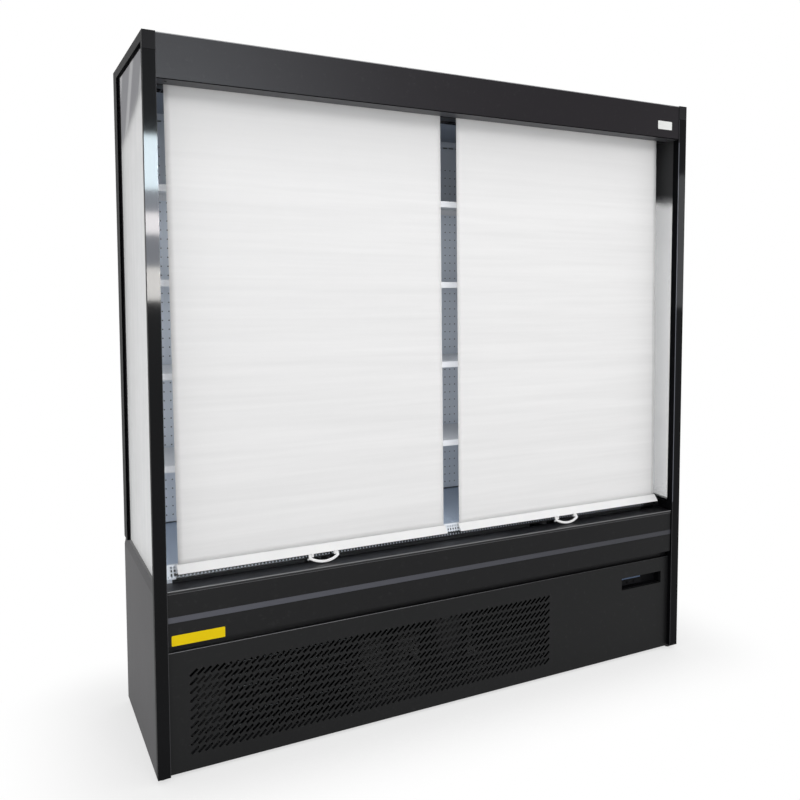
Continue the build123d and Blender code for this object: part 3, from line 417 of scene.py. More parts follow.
class FridgeBlind(bpy.types.PropertyGroup):
    """Cloth, bars and handles of the night blinds."""

    cloth: colour_setting("Cloth", (0.874, 0.87, 0.87), "Coated woven cloth")
    bar: colour_setting("Bar", (0.93, 0.93, 0.93), "Bottom bar and handle")
    thread: number_setting("Thread pitch", 0.0011, "Distance between two threads", "LENGTH")
    thickness: number_setting("Thickness", 0.0006, "Thickness of the cloth", "LENGTH")
    ripple: number_setting("Ripple", 0.0011, "How far the cloth leaves its plane", "LENGTH")
    bar_lean: number_setting("Bar lean", 0.020, "Bar's lower edge before its top", "LENGTH")
    bar_height: number_setting("Bar height", 0.021, "Height of the bottom bar", "LENGTH")
    bar_depth: number_setting("Bar depth", 0.007, "Depth of the bottom bar", "LENGTH")
    label_length: number_setting("Label length", 0.050, "Blank label on the bar", "LENGTH")
    label_height: number_setting("Label height", 0.019, "Blank label on the bar", "LENGTH")
    label_depth: number_setting("Label depth", 0.0003, "Thickness of the label", "LENGTH")
    drift_low: number_setting("Drift below", 0.0055, "Lower edge off to the right", "LENGTH")
    drift_high: number_setting("Drift above", 0.0080, "Upper edge off to the left", "LENGTH")


class FridgePlates(bpy.types.PropertyGroup):
    """Blank plates on the front."""

    yellow: colour_setting("Yellow plate", (0.84, 0.61, 0.003), "Blank plate on the bumper")
    pale: colour_setting("Pale plate", (0.80, 0.81, 0.79), "Blank plate on the fascia")
    yellow_length: number_setting("Yellow length", 0.140, "Of the yellow plate", "LENGTH")
    yellow_height: number_setting("Yellow height", 0.029, "Of the yellow plate", "LENGTH")
    pale_length: number_setting("Pale length", 0.063, "Length of the pale plate", "LENGTH")
    pale_height: number_setting("Pale height", 0.029, "Height of the pale plate", "LENGTH")


class FridgeStudio(bpy.types.PropertyGroup):
    """Camera and light."""

    lens: number_setting("Focal length", 40.1334, "On a sensor 36 mm wide", "CAMERA")
    yaw: number_setting("Yaw", 0.5489, "Turn to the right", "ROTATION")
    pitch: number_setting("Pitch", 0.0693, "Look down", "ROTATION")
    roll: number_setting("Roll", 0.0072, "Turn about the view axis", "ROTATION")
    key: number_setting("Key light", 36.0, "Soft box above the front", "POWER")
    fill: number_setting("Fill light", 20.0, "Soft box at the right", "POWER")
    inside: number_setting("Inside light", 2.1, "Light that the cloth lets through", "POWER")
    sky: number_setting("Room light", 0.72, "Strength of the even light from all round")


# ------------------------------------------------------------------ painted body
class FRIDGE_OT_paint_body(bpy.types.Operator):
    """Paint the frame, fascia, side panels, bumper, ledge and kick plate"""

    bl_idname = "fridge.paint_body"
    bl_label = "Paint the body"

    def execute(self, context):
        paint = context.scene.fridge_paint
        coat(self.polished_frame(paint.frame), "side_frame_left", "side_frame_right")
        coat(self.fascia_coat(paint.fascia), "fascia")
        coat(powder_coat("side panel powder coat", paint.side, 0.50, streaks=0.15,
                         grain=UPRIGHT, specular=0.12), "side_panel_left", "side_panel_right")
        coat(self.bumper_coat(paint.bumper), "bumper_panel")
        coat(self.kick_coat(paint.kick), "kick_plate")
        coat(self.ledge_plastic(), "bumper_ledge")
        coat(self.stripe_coat(paint.stripe), "bumper_stripe")
        coat(rolled_metal("galvanised sheet", (0.50, 0.52, 0.54), 0.42, spangle=0.5),
             "rear_wall", "roof_panel")
        coat(powder_coat("machine bay coat", (0.016, 0.016, 0.018), 0.45),
             "rear_grille", "base_frame")
        coat(moulded("foot nylon", (0.018, 0.018, 0.018), 0.5), "foot_front_left",
             "foot_front_right", "foot_rear_left", "foot_rear_right")
        return {"FINISHED"}

    def polished_frame(self, colour):
        """Black frame with polished front posts, a jointed cap, a painted highlight on the posts'
        inner front edges and a painted reflection on the right post.
        """
        finish = Finish("frame enamel", specular=0.012, coat_roughness=0.05)
        low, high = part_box("side_frame_left")
        cap_height = 0.048
        joint_half = 0.0008
        face_depth, edge_depth, edge_width = 0.0006, 0.0016, 0.0212
        glint_edge, glint_low, glint_high = 0.8794, 0.56, 1.87
        x, y, z = finish.axes()
        front = y < low.y + face_depth
        joint = (abs(z - (high.z - cap_height)) < joint_half) * front
        cap = (z > high.z - cap_height) * front
        # painted highlight: a paler strip along each post's inner front edge
        inner_edge_highlight = (abs(x) < -high.x + edge_width) * (y < low.y + edge_depth)
        # painted reflection: a pale bluish patch on the right post's front, between two heights
        painted_post_reflection = front * (x > 0) * (x < glint_edge) * (z > glint_low) * (z < glint_high)
        cloud = finish.noise(2.2, detail=4)
        rubbing = finish.noise(14, stretch=UPRIGHT, detail=5, rough=0.65)
        tone = finish.mix(cloud, shade(colour, 0.8), shade(colour, 1.2))
        tone = finish.mix(inner_edge_highlight * 0.8, tone, (0.07, 0.07, 0.075))
        tone = finish.mix(painted_post_reflection * 0.9, tone, (0.16, 0.17, 0.20))
        tone = finish.mix(cap * (cloud.step(0.35, 0.65) * 0.6 + 0.4), tone, (0.022, 0.022, 0.024))
        finish.set(base_color=finish.mix(joint, tone, (0, 0, 0)),
                   coat_weight=front * 0.14, roughness=rubbing * 0.1 + 0.34,
                   normal=finish.bump(finish.noise(420, detail=2), 0.00004, 0.35))
        return finish.material

    def fascia_coat(self, colour):
        """Fascia with a painted highlight along its upper edge and painted light that greys its
        downward face.
        """
        low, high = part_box("fascia")
        edge, face, sheet = 0.0022, 0.002, 0.0003
        # painted highlight: a pale strip along the fascia's top edge
        zones = [(lambda x, y, z: z > high.z - edge, (0.30, 0.30, 0.31)),
                 # painted light: the downward face of the black sheet is a lighter grey
                 (lambda x, y, z: (z < low.z + sheet) * (y > low.y + face), (0.060, 0.061, 0.066))]
        return powder_coat("fascia powder coat", colour, 0.40, streaks=0.2, grain=ALONG,
                           specular=0.16, zones=zones)

    def bumper_coat(self, colour):
        """Bumper panel with a painted highlight along its upper edge."""
        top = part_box("bumper_panel")[1].z
        edge = 0.0016
        # painted highlight: a pale strip along the bumper's top edge
        zones = [(lambda x, y, z: z > top - edge, (0.10, 0.10, 0.105))]
        return powder_coat("bumper coat", colour, 0.34, streaks=0.3, grain=ALONG, specular=0.16,
                           zones=zones)

    def kick_coat(self, colour):
        """Kick plate with painted shade on its top flange and a painted highlight along its front
        edge that fades to the right.
        """
        low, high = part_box("kick_plate")
        flange, edge, face = 0.003, 0.0014, 0.001
        # painted shade: the top flange behind the front edge is near black
        zones = [(lambda x, y, z: (z > high.z - flange) * (y > low.y + face),
                  (0.001, 0.001, 0.001)),
                 # painted highlight: a pale strip along the front top edge, fading to the right
                 (lambda x, y, z: (z > high.z - edge) * (y < low.y + face)
                  * (1 - x.step(-0.7, 0.8) * 0.9), (0.22, 0.22, 0.23))]
        return powder_coat("kick plate coat", colour, 0.38, streaks=0.2, grain=ALONG,
                           specular=0.16, zones=zones)

    def ledge_plastic(self):
        """Glossy ledge with a painted highlight along its upper front edge."""
        low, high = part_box("bumper_ledge")
        edge_depth, edge_height = 0.0025, 0.0026
        # painted highlight: a pale strip along the ledge's upper front edge
        return gloss_black("ledge plastic", BLACK, 0.30, 0.3,
                           lambda x, y, z: (y < low.y + edge_depth) * (z > high.z - edge_height))

    def stripe_coat(self, colour):
        """Grey stripe with painted shade that darkens it towards the right."""
        # painted shade: the stripe grows darker towards the right
        zones = [(lambda x, y, z: x.step(-0.8, 1.0) * 0.8, shade(colour, 0.35))]
        return powder_coat("stripe insert", colour, 0.5, specular=0.4, zones=zones)


# ------------------------------------------------------------------ glass
class FRIDGE_OT_glaze_sides(bpy.types.Operator):
    """Glaze the sides and print their dark border"""

    bl_idname = "fridge.glaze_sides"
    bl_label = "Glaze the sides"

    def execute(self, context):
        coat(self.pane("left", (0.34, 0.34, 0.36), height=1.80, slope=0.25, painted_reflection_bands=0.35),
             "side_glass_left")
        coat(self.pane("right", (0.030, 0.030, 0.032), height=1.68, slope=-0.078, painted_reflection_bands=0),
             "side_glass_right")
        coat(moulded("spacer border", GLASS_PRINT, 0.55), "glass_spacers")
        return {"FINISHED"}

    def pane(self, side, painted_shade_tone, height, slope, painted_reflection_bands):
        """Glass with painted shade above a sloping height, broken by painted reflection bands,
        with wiping streaks and a black border.
        """
        low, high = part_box(f"side_glass_{side}")
        border_front, border_back, border_below, border_above = 0.010, 0.052, 0.016, 0.010
        fade_half = 0.03
        band_slope, band_turns = 1.35, 21
        finish = Finish(f"{side} side glass", ior=1.5, specular=0.0, coat_roughness=0.04)
        _, y, z = finish.axes()
        facing = finish.node("ShaderNodeLayerWeight", None, {"Blend": 0.35})[FACING]
        streaks = finish.noise(5, stretch=(6, 6, 0.6), detail=5, rough=0.6)
        smear = finish.noise(3, detail=5, rough=0.7, offset=(0, 0.4, 0.2)).step(0.45, 0.75)
        # painted shade: the pane darkens above a sloping height
        painted_shade_zone = (z + smear * 0.03 + y * slope).step(height - fade_half, height + fade_half)
        # painted reflections: diagonal bands that lighten the painted shade
        bands = ((z + y * band_slope) * band_turns).sine().step(0.3, 0.95) * painted_reflection_bands
        tone = finish.mix(streaks, (0.76, 0.77, 0.785), (0.95, 0.95, 0.95))
        tone = finish.mix(painted_shade_zone * (1 - bands) * 0.95, tone, painted_shade_tone)
        edge = (y < low.y + border_front).larger(y > high.y - border_back)
        edge = edge.larger((z < low.z + border_below).larger(z > high.z - border_above))
        clear = facing * 0.74 + 0.04 + smear * 0.05
        finish.set(base_color=finish.mix(edge, tone, GLASS_PRINT),
                   alpha=clear.larger(painted_shade_zone * 0.86).larger(edge * 0.98),
                   roughness=smear * 0.08 + 0.04 + edge * 0.25,
                   coat_weight=1 - (painted_shade_zone * (0.92 - bands * 0.5)).larger(edge * 0.7))
        return finish.material


# ------------------------------------------------------------------ inside
class FRIDGE_OT_line_inside(bpy.types.Operator):
    """Finish the back panel, shelves, canopy underside, deck and return grille"""

    bl_idname = "fridge.line_inside"
    bl_label = "Line the inside"

    def execute(self, context):
        paint = context.scene.fridge_paint
        zones = self.painted_grille_shadows()
        coat(self.perforated(paint.liner), "rear_duct_panel")
        coat(powder_coat("liner coat", paint.liner, 0.36, dust=0.02), "shelf_uprights")
        coat(powder_coat("tub coat", paint.liner, 0.36, dust=0.02, zones=zones),
             "insulated_tub")
        coat(powder_coat("shelf coat", paint.shelf, 0.34, dust=0.03, grain=ALONG),
             "shelf_1", "shelf_2", "shelf_3", "shelf_4", "shelf_brackets")
        coat(powder_coat("deck coat", paint.deck, 0.30, dust=0.03), "deck_pans")
        coat(powder_coat("grille coat", paint.grille, 0.40, dust=0.04, zones=zones),
             "return_grille")
        coat(powder_coat("ceiling coat", (0.22, 0.26, 0.33), 0.35), "ceiling_panel")
        coat(powder_coat("cassette coat", (0.016, 0.017, 0.019), 0.4), "blind_cassette")
        coat(moulded("outlet plastic", (0.012, 0.012, 0.013), 0.5), "air_outlet_grille")
        coat(moulded("lamp diffuser", (0.82, 0.83, 0.82), 0.3), "canopy_lamps")
        return {"FINISHED"}

    def painted_grille_shadows(self):
        """Painted shadow of the blinds' bars on the return grille: black along the foot where a
        bar is above and at the right end, black in front of the foot, and the slot webs along the
        foot in a darker tone for the shade.
        """
        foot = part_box("return_grille")[0]
        bar_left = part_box("bottom_bar_left")[0].x
        foot_height, foot_depth = 0.012, 0.009
        end, end_height = 0.815, 0.045
        half_pitch, half_width = 0.005, 0.0019
        middle, half_height = 0.0055, 0.0026
        return [
            # painted shadow: black along the foot where a bar is above, and black in front of the
            # foot
            (lambda x, y, z: ((z < foot.z + foot_height) * (x > bar_left))
             .larger(y < foot.y - foot_depth), BLACK),
            # painted shadow: black at the right end, low down
            (lambda x, y, z: (x > end) * (z < foot.z + end_height), BLACK),
            # slot webs along the foot, painted in a darker tone for the shade
            (lambda x, y, z: (abs(x.wrapped(-half_pitch, half_pitch)) < half_width) * (x < end)
             * (abs(z - foot.z - middle) < half_height), (0.42, 0.46, 0.54))]

    def perforated(self, colour):
        """Liner sheet with rows of small round air holes."""
        half_pitch, half_row, first_row = 0.00975, 0.014, 0.006
        field_low, field_high = 0.62, 1.786
        hole_radius, rim_radius = 1.75, 2.15
        millimetres = 1000
        finish = Finish("perforated liner")
        x, _, z = finish.axes()
        across = x.wrapped(-half_pitch, half_pitch) * millimetres
        up = (z - first_row).wrapped(-half_row, half_row) * millimetres
        distance = (across * across + up * up).power(0.5)
        field = (z > field_low) * (z < field_high)
        hole = (1 - distance.step(hole_radius, rim_radius)) * field
        cloud = finish.noise(3, detail=4)
        tone = finish.mix(cloud, shade(colour, 0.90), shade(colour, 1.08))
        finish.set(base_color=finish.mix(hole, tone, (0.006, 0.007, 0.009)),
                   roughness=0.34 + cloud * 0.06 + hole * 0.4,
                   normal=finish.bump(1 - hole, 0.0006, 0.5))
        return finish.material


# ------------------------------------------------------------------ night blinds
class FRIDGE_OT_hang_blinds(bpy.types.Operator):
    """Hang both night blinds with their rollers, bars and handles"""

    bl_idname = "fridge.hang_blinds"
    bl_label = "Hang the blinds"

    def execute(self, context):
        blind = context.scene.fridge_blind
        cloth = self.woven(blind)
        plastic = moulded("white bar coat", blind.bar, 0.35, 0.00004)
        film = moulded("label film", (0.96, 0.96, 0.95), 0.25)
        clear = self.clear_plastic()
        for name in ("left", "right"):
            coat(cloth, f"roller_{name}")
            self.hang_cloth(name, blind, cloth)
            coat(plastic, f"bottom_bar_{name}", f"blind_handle_{name}")
            self.label_bar(name, blind, film)
            self.stop_knob(name, clear)
        return {"FINISHED"}

    def woven(self, blind):
        """Coated cloth: fine weave, slubs that run across, painted shade at the top under the
        canopy and a soft sheen.
        """
        finish = Finish("blind cloth", sheen_weight=0.15, sheen_roughness=0.5)
        x, _, z = finish.axes()
        turns = 2 * math.pi / blind.thread
        weave = (x * turns).sine() * (z * turns).sine() * 0.5 + 0.5
        slub = finish.noise(36, stretch=(0.06, 1, 1.8), detail=5, rough=0.62).step(0.2, 0.8)
        bands = finish.noise(13, stretch=(0.06, 1, 1.7), detail=5, rough=0.6).step(0.32, 0.68)
        # painted shade: the cloth darkens towards the top, under the canopy
        painted_canopy_shade = z.step(1.62, 1.90) * (bands * 0.4 + 0.6)
        tone = finish.mix(slub * 0.55 + bands * 0.45, shade(blind.cloth, 0.93),
                          shade(blind.cloth, 1.025))
        tone = finish.mix(painted_canopy_shade, tone, shade(blind.cloth, 0.84))
        tone = finish.mix(weave * 0.06, tone, shade(blind.cloth, 0.90))
        finish.set(base_color=tone, roughness=0.58 + slub * 0.16,
                   normal=finish.bump(weave * 0.35 + slub * 0.65, 0.00035, 0.5))
        return finish.material

    def clear_plastic(self):
        """Clear moulded plastic with a slightly uneven shine."""
        finish = Finish("clear knob", base_color=(0.72, 0.73, 0.74), alpha=0.75)
        shine = finish.noise(300, detail=2)
        finish.set(roughness=shine * 0.1 + 0.08, normal=finish.bump(shine, 0.00005, 0.3))
        return finish.material

    def hang_cloth(self, name, blind, cloth):
        """One sheet of cloth from its bar to the roller, with slight ripples."""
        low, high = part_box(f"blind_fabric_{name}")
        middle = (low + high) / 2
        width, length = high.x - low.x, high.z - low.z
        bm = bmesh.new()
        made = bmesh.ops.create_grid(bm, x_segments=48, y_segments=80, size=0.5)["verts"]
        bmesh.ops.scale(bm, vec=(width, length, 1), verts=made)
        bmesh.ops.rotate(bm, cent=(0, 0, 0), matrix=Matrix.Rotation(math.pi / 2, 3, "X"),
                         verts=made)
        bmesh.ops.translate(bm, vec=middle, verts=made)
        for vert in bm.verts:
            up = (vert.co.z - low.z) / length
            across = (vert.co.x - low.x) / width
            vert.co.y += blind.ripple * self.ripple(up, across) * 0.5
            vert.co.x += blind.drift_low * (1 - up) - blind.drift_high * up
        sheet = piece(f"blind_cloth_{name}", bm, cloth, "cabinet",
                      [f"blind_fabric_{name}"])
        thick = sheet.modifiers.new("thickness", "SOLIDIFY")
        thick.thickness = blind.thickness
        thick.offset = 0
        slide = f"blind_{name}_slide"
        1 - self.travel(slide) / length
        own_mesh(sheet)

    def ripple(self, up, across):
        """Height of the cloth's ripples at a place from 0 to 1; they end at bar and roller."""
        free = math.sin(math.pi * up) ** 0.5 if 0 < up < 1 else 0
        slow = math.sin(9.1 * up + 2.0 * across)
        quick = 0.6 * math.sin(23 * up - 3.1 * across)
        sideways = 0.5 * math.sin(14 * across + 1.7) * up
        return free * (slow + quick + sideways)

    def travel(self, slide):
        """Travel of a slide joint in metres."""
        joint = next(joint for joint in frame["joints"] if joint["name"] == slide)
        return max(joint["range_m"])

    def label_bar(self, name, blind, film):
        """A thin blank label on the leaning face of the bar, above the handle."""
        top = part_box(f"bottom_bar_{name}")[1]
        handle_low, handle_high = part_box(f"blind_handle_{name}")
        half_length, half_height = blind.label_length / 2, blind.label_height / 2
        corner_radius = 0.002
        lean = math.atan2(blind.bar_lean, blind.bar_height)
        bm = bmesh.new()
        slab(bm, (-half_length, -blind.label_depth, -half_height), (half_length, 0, half_height))
        round_corners(bm, blind.label_depth, corner_radius)
        bmesh.ops.rotate(bm, cent=(0, 0, 0), matrix=Matrix.Rotation(-lean, 3, "X"),
                         verts=bm.verts)
        place = ((handle_low.x + handle_high.x) / 2,
                 top.y - blind.bar_depth - blind.bar_lean / 2, top.z - blind.bar_height / 2)
        bmesh.ops.translate(bm, vec=place, verts=bm.verts)
        piece(f"bar_label_{name}", bm, film, f"bar_{name}")

    def stop_knob(self, name, clear):
        """A small clear knob outside the handle's left leg, with its pin."""
        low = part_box(f"blind_handle_{name}")[0]
        reach, behind, above = 0.0022, 0.0125, 0.0135
        knob_radius, pin_radius, pin_length = 0.0032, 0.0017, 0.003
        place = low + Vector((-reach, behind, above))
        bm = bmesh.new()
        made = bmesh.ops.create_uvsphere(bm, u_segments=20, v_segments=12, radius=knob_radius)
        bmesh.ops.translate(bm, vec=place, verts=made["verts"])
        disc(bm, place + Vector((reach, 0, 0)), pin_radius, pin_length, (1, 0, 0), 16)
        piece(f"handle_knob_{name}", bm, clear, f"handle_{name}")


# ------------------------------------------------------------------ controller
class FRIDGE_OT_fit_controller(bpy.types.Operator):
    """Finish the controller in its recess"""

    bl_idname = "fridge.fit_controller"
    bl_label = "Fit the controller"

    def execute(self, context):
        coat(moulded("controller plastic", (0.003, 0.003, 0.004), 0.6, specular=0.1),
             "controller_housing")
        coat(gloss_black("display window", (0.10, 0.15, 0.25), 0.3, 0.2), "controller_display")
        coat(moulded("key plastic", (0.005, 0.005, 0.006), 0.6, specular=0.05),
             "controller_key_left", "controller_key_right")
        return {"FINISHED"}


# ------------------------------------------------------------------ plates and screws
class FRIDGE_OT_fit_plates(bpy.types.Operator):
    """Fit the blank plates, the painted shadow strip under the fascia and the visible screws"""

    bl_idname = "fridge.fit_plates"
    bl_label = "Fit the blank plates"

    # left edge of each plate, and its lower edge above the bumper's foot and the floor
    yellow_left, yellow_rise = -0.8675, 0.0372
    pale_left, pale_rise = 0.781, 1.911

    def execute(self, context):
        plates = context.scene.fridge_plates
        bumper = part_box("bumper_panel")[0]
        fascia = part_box("fascia")
        self.plate("bumper_plate", plates.yellow, "bumper_black",
                   Vector((self.yellow_left, bumper.y, bumper.z + self.yellow_rise)),
                   plates.yellow_length, plates.yellow_height)
        self.plate("fascia_plate", plates.pale, "fascia_black",
                   Vector((self.pale_left, fascia[0].y, self.pale_rise)),
                   plates.pale_length, plates.pale_height)
        self.canopy_screws(fascia[0])
        self.panel_screws()
        self.shadow_gap_strip(*fascia)
        return {"FINISHED"}

    def plate(self, name, colour, slot, corner, length, height):
        """A thin blank plate with rounded corners on a front face, from its lower left corner."""
        thickness, corner_radius = 0.0006, 0.0025
        bm = bmesh.new()
        slab(bm, corner - Vector((0, thickness, 0)), corner + Vector((length, 0, height)))
        round_corners(bm, thickness, corner_radius)
        film = moulded(name.replace("_", " ") + " film", colour, 0.5, 0.00003, specular=0.06)
        piece(name, bm, film, "cabinet")

    def canopy_screws(self, fascia):
        """Black screws in the canopy's underside."""
        from_middle, from_front = 0.850, 0.026
        bm = bmesh.new()
        for side in (-1, 1):
            screw(bm, (side * from_middle, fascia.y + from_front, fascia.z), (0, 0, -1))
        piece("canopy_screws", bm, moulded("screw black", (0.008, 0.008, 0.009), 0.35, 0.00002),
              "cabinet")

    def panel_screws(self):
        """Bright screws along the back's edges and on the roof."""
        grille_low, grille_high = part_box("rear_grille")
        wall_low, wall_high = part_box("rear_wall")
        roof_low, roof_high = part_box("roof_panel")
        grille_column, wall_column, roof_end = 0.866, 0.862, 0.84
        grille_margin, wall_margin, roof_margin = 0.02, 0.05, 0.02
        bm = bmesh.new()
        for side in (-1, 1):
            for z in spread(grille_low.z + grille_margin, grille_high.z - grille_margin, 3):
                screw(bm, (side * grille_column, grille_high.y, z), (0, 1, 0))
            for z in spread(wall_low.z + wall_margin, wall_high.z - wall_margin, 7):
                screw(bm, (side * wall_column, wall_high.y, z), (0, 1, 0))
        for x in spread(-roof_end, roof_end, 9):
            for y in (roof_low.y + roof_margin, roof_high.y - roof_margin):
                screw(bm, (x, y, roof_high.z), (0, 0, 1))
        piece("panel_screws", bm, rolled_metal("screw zinc", (0.62, 0.62, 0.60), 0.3,
                                               stretch=EVEN), "cabinet")

    def shadow_gap_strip(self, low, high):
        """A black strip of painted shadow for the gap along the fascia's lower front edge."""
        proud, depth, height = 0.0003, 0.0010, 0.0024
        bm = bmesh.new()
        # painted shadow: a black strip where the gap under the fascia's face lies in shade
        slab(bm, (low.x, low.y - proud, low.z), (high.x, low.y + depth, low.z + height))
        piece("fascia_shadow_gap", bm, moulded("painted gap shadow", (0.001, 0.001, 0.001), 0.9,
                                          specular=0.0), "cabinet")


# ------------------------------------------------------------------ machine
class FRIDGE_OT_dress_machine(bpy.types.Operator):
    """Finish the compressor, coils, fans, pipes, tray and electrical box"""

    bl_idname = "fridge.dress_machine"
    bl_label = "Dress the machine"

    def execute(self, context):
        coat(powder_coat("compressor enamel", (0.014, 0.014, 0.015), 0.25), "compressor")
        coat(powder_coat("condenser enamel", (0.010, 0.010, 0.011), 0.45), "condenser_coil")
        coat(powder_coat("fan plate coat", (0.20, 0.21, 0.22), 0.4), "evaporator_fan_plate")
        coat(powder_coat("shroud coat", (0.012, 0.012, 0.013), 0.4), "condenser_fan_shroud")
        coat(rolled_metal("fin aluminium", (0.62, 0.63, 0.65), 0.38), "evaporator_coil")
        coat(rolled_metal("motor housing", (0.10, 0.10, 0.11), 0.5, stretch=EVEN),
             "condenser_fan_motor", "evaporator_fan_motors")
        coat(moulded("fan plastic", (0.05, 0.05, 0.055), 0.4),
             "condenser_fan", "evaporator_fan_left", "evaporator_fan_right")
        coat(moulded("pipe foam", (0.008, 0.008, 0.009), 0.8, specular=0.1),
             "refrigerant_pipes")
        coat(moulded("tray plastic", (0.02, 0.02, 0.021), 0.6, specular=0.2),
             "evaporation_tray")
        coat(moulded("enclosure plastic", (0.014, 0.014, 0.015), 0.6, specular=0.2),
             "electrical_box")
        return {"FINISHED"}


# ------------------------------------------------------------------ studio
class FRIDGE_OT_set_studio(bpy.types.Operator):
    """Set the floor, the light and the camera"""

    bl_idname = "fridge.set_studio"
    bl_label = "Set the studio"

    # windows that the posts mirror: place across, lower edge, upper edge, brightness, colour
    windows = ((-0.28, 1.978, 2.342, 165, (0.80, 0.93, 1.0)),
               (-0.28, 1.825, 1.978, 40, (0.83, 0.89, 1.0)),
               (-0.28, 1.679, 1.825, 140, (1.0, 0.97, 0.99)),
               (-0.28, 1.456, 1.679, 33, (0.86, 0.90, 1.0)),
               (-0.28, 1.232, 1.456, 110, (1.0, 0.98, 0.95)),
               (4.40, 1.15, 2.40, 8, (0.95, 0.97, 1.0)))
    window_y = -4.29
    window_width = 0.42
    post_x, post_y = 0.89, -0.29

    sensor_width = 36
    camera_place = (-1.2709342, -2.7856546, 1.3570564)
    lens_shift = (-0.1625375, -0.0666875)

    def execute(self, context):
        scene = context.scene
        studio = scene.fridge_studio
        scene.view_settings.view_transform = "Standard"
        self.floor()
        self.room(scene, studio)
        self.soft_box("key light", studio.key, place=(-0.2, -3.9, 3.6), target=(0, 0, 1.0),
                      size=(1.6, 1.1))
        fill = self.soft_box("fill light", studio.fill, place=(3.6, -2.6, 2.6),
                             target=(0.2, 0, 1.0), size=(2.4, 2.4))
        inside = self.soft_box("light through the blinds", studio.inside,
                               place=(-0.30, -0.205, 1.15), target=(-0.30, 1, 1.15),
                               size=(1.05, 1.20))
        fill.visible_glossy = False
        inside.visible_glossy = False
        for number, window in enumerate(self.windows, start=1):
            self.window(f"window light {number}", *window)
        self.camera(scene, studio)
        return {"FINISHED"}

    def floor(self):
        """A pale floor that shows white away from the cabinet, with a painted soft shadow that
        greys it near the cabinet, and keeps its own shadow.
        """
        half_size, fade_reach = 40, 0.40
        bm = bmesh.new()
        bmesh.ops.create_grid(bm, x_segments=1, y_segments=1, size=half_size)
        mesh = bpy.data.meshes.new("floor")
        bm.to_mesh(mesh)
        bm.free()
        ground = bpy.data.objects.new("floor", mesh)
        bpy.context.scene.collection.objects.link(ground)
        finish = Finish("studio floor", roughness=0.9, base_color=(0.95, 0.95, 0.95),
                        specular=0.0)
        mesh.materials.append(finish.material)
        x, y, _ = finish.axes()
        reach = CAD_BOX[1]
        beside = (abs(x) - reach.x).larger(0)
        before = (abs(y) - reach.y).larger(0)
        # painted shadow: near the cabinet less white glow is blended in, so the floor greys there
        away = (beside * beside + before * before).power(0.5).step(0.0, fade_reach)
        lit = finish.outputs(finish.shader)[0]
        glow = finish.node("ShaderNodeEmission")[0]
        shown = finish.blend(finish.in_view() * (away * 0.36 + 0.64), lit, glow)
        finish.feed(finish.tree.nodes["Material Output"].inputs[0], shown)

    def room(self, scene, studio):
        """Even light from all round, which shows as a white background."""
        white = (1, 1, 1)
        world = bpy.data.worlds.new("studio room")
        scene.world = world
        world.use_nodes = True
        nodes = Nodes(world.node_tree)
        light = world.node_tree.nodes["Background"]
        nodes.feed(light.inputs["Color"], white)
        nodes.feed(light.inputs["Strength"], studio.sky)
        backdrop = nodes.node("ShaderNodeBackground", None, {"Color": white, "Strength": 1})[0]
        shown = nodes.blend(nodes.in_view(), nodes.outputs(light)[0], backdrop)
        nodes.feed(world.node_tree.nodes["World Output"].inputs[0], shown)

    def soft_box(self, name, power, place, target, size):
        """An even rectangle of light, unseen by the camera."""
        light = bpy.data.lights.new(name, "AREA")
        light.energy = power
        light.shape = "RECTANGLE"
        light.size, light.size_y = size
        made = bpy.data.objects.new(name, light)
        made.visible_camera = False
        bpy.context.scene.collection.objects.link(made)
        made.location = place
        made.rotation_euler = (Vector(target) - Vector(place)).to_track_quat("-Z", "Y").to_euler()
        return made

    def window(self, name, x, low, high, brightness, colour):
        """A soft light aimed at a polished post, that lights nothing but shows in reflections."""
        middle = (low + high) / 2
        power = brightness * math.pi * (self.window_width * (high - low))
        made = self.soft_box(name, power, place=(x, self.window_y, middle),
                             target=(math.copysign(self.post_x, x), self.post_y, middle),
                             size=(self.window_width, high - low))
        made.data.color = colour
        made.visible_diffuse = False

    def camera(self, scene, studio):
        """The camera at the photograph's viewing angle."""
        data = bpy.data.cameras.new("camera")
        data.sensor_width = self.sensor_width
        data.lens = studio.lens
        data.shift_x, data.shift_y = self.lens_shift
        camera = bpy.data.objects.new("camera", data)
        scene.collection.objects.link(camera)
        camera.location = self.camera_place
        ahead = Vector((math.sin(studio.yaw) * math.cos(studio.pitch),
                        math.cos(studio.yaw) * math.cos(studio.pitch), -math.sin(studio.pitch)))
        right = Vector((math.cos(studio.yaw), -math.sin(studio.yaw), 0))
        up = right.cross(ahead)
        across = math.cos(studio.roll) * right + math.sin(studio.roll) * up
        upward = math.cos(studio.roll) * up - math.sin(studio.roll) * right
        camera.rotation_euler = Matrix((across, upward, -ahead)).transposed().to_euler()
        scene.camera = camera


# ------------------------------------------------------------------ panel and registration
OPERATORS = (FRIDGE_OT_paint_body, FRIDGE_OT_glaze_sides, FRIDGE_OT_line_inside,
             FRIDGE_OT_hang_blinds, FRIDGE_OT_fit_controller, FRIDGE_OT_fit_plates,
             FRIDGE_OT_dress_machine, FRIDGE_OT_set_studio)
GROUPS = {"fridge_paint": FridgePaint, "fridge_blind": FridgeBlind,
          "fridge_plates": FridgePlates, "fridge_studio": FridgeStudio}


class FRIDGE_PT_panel(bpy.types.Panel):
    """Lists the settings and operators of the display fridge"""

    bl_label = "Display fridge"
    bl_idname = "FRIDGE_PT_panel"
    bl_space_type = "VIEW_3D"
    bl_region_type = "UI"
    bl_category = "Display fridge"

    def draw(self, context):
        for group in GROUPS:
            box = self.layout.box()
            values = getattr(context.scene, group)
            for name in values.bl_rna.properties.keys():
                if name not in ("rna_type", "name"):
                    box.prop(values, name)
        for operator in OPERATORS:
            self.layout.operator(operator.bl_idname)


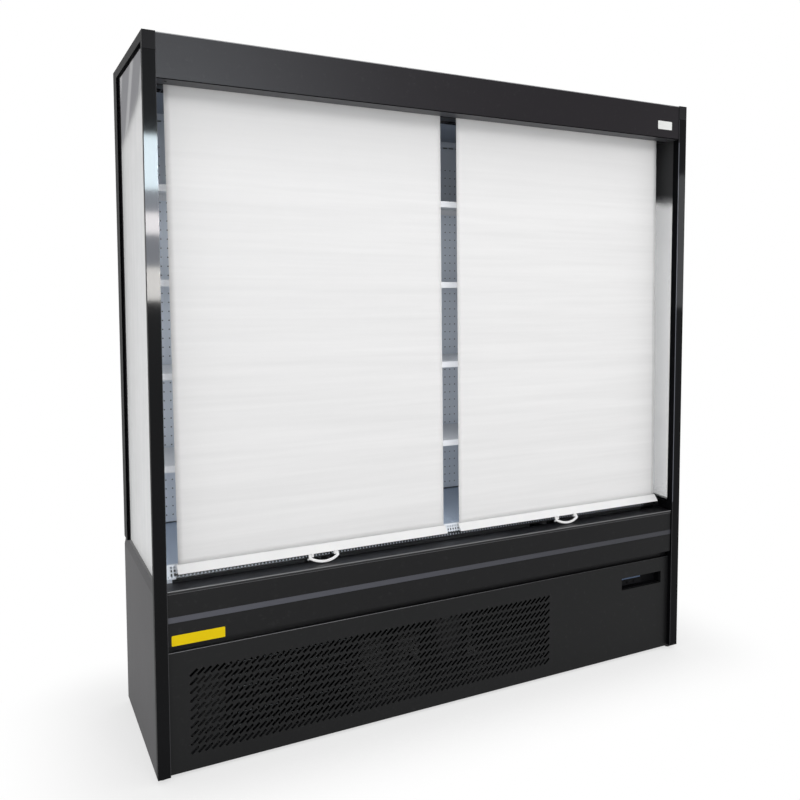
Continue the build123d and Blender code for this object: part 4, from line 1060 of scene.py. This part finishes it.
def register():
    for group, kind in GROUPS.items():
        bpy.utils.register_class(kind)
        setattr(bpy.types.Scene, group, bpy.props.PointerProperty(type=kind))
    for operator in OPERATORS:
        bpy.utils.register_class(operator)
    bpy.utils.register_class(FRIDGE_PT_panel)


def unregister():
    bpy.utils.unregister_class(FRIDGE_PT_panel)
    for operator in reversed(OPERATORS):
        bpy.utils.unregister_class(operator)
    for group, kind in GROUPS.items():
        delattr(bpy.types.Scene, group)
        bpy.utils.unregister_class(kind)


def main():
    """Make everything."""
    register()
    for operator in OPERATORS:
        group, name = operator.bl_idname.split(".")
        getattr(getattr(bpy.ops, group), name)()


if __name__ == "__main__":
    main()
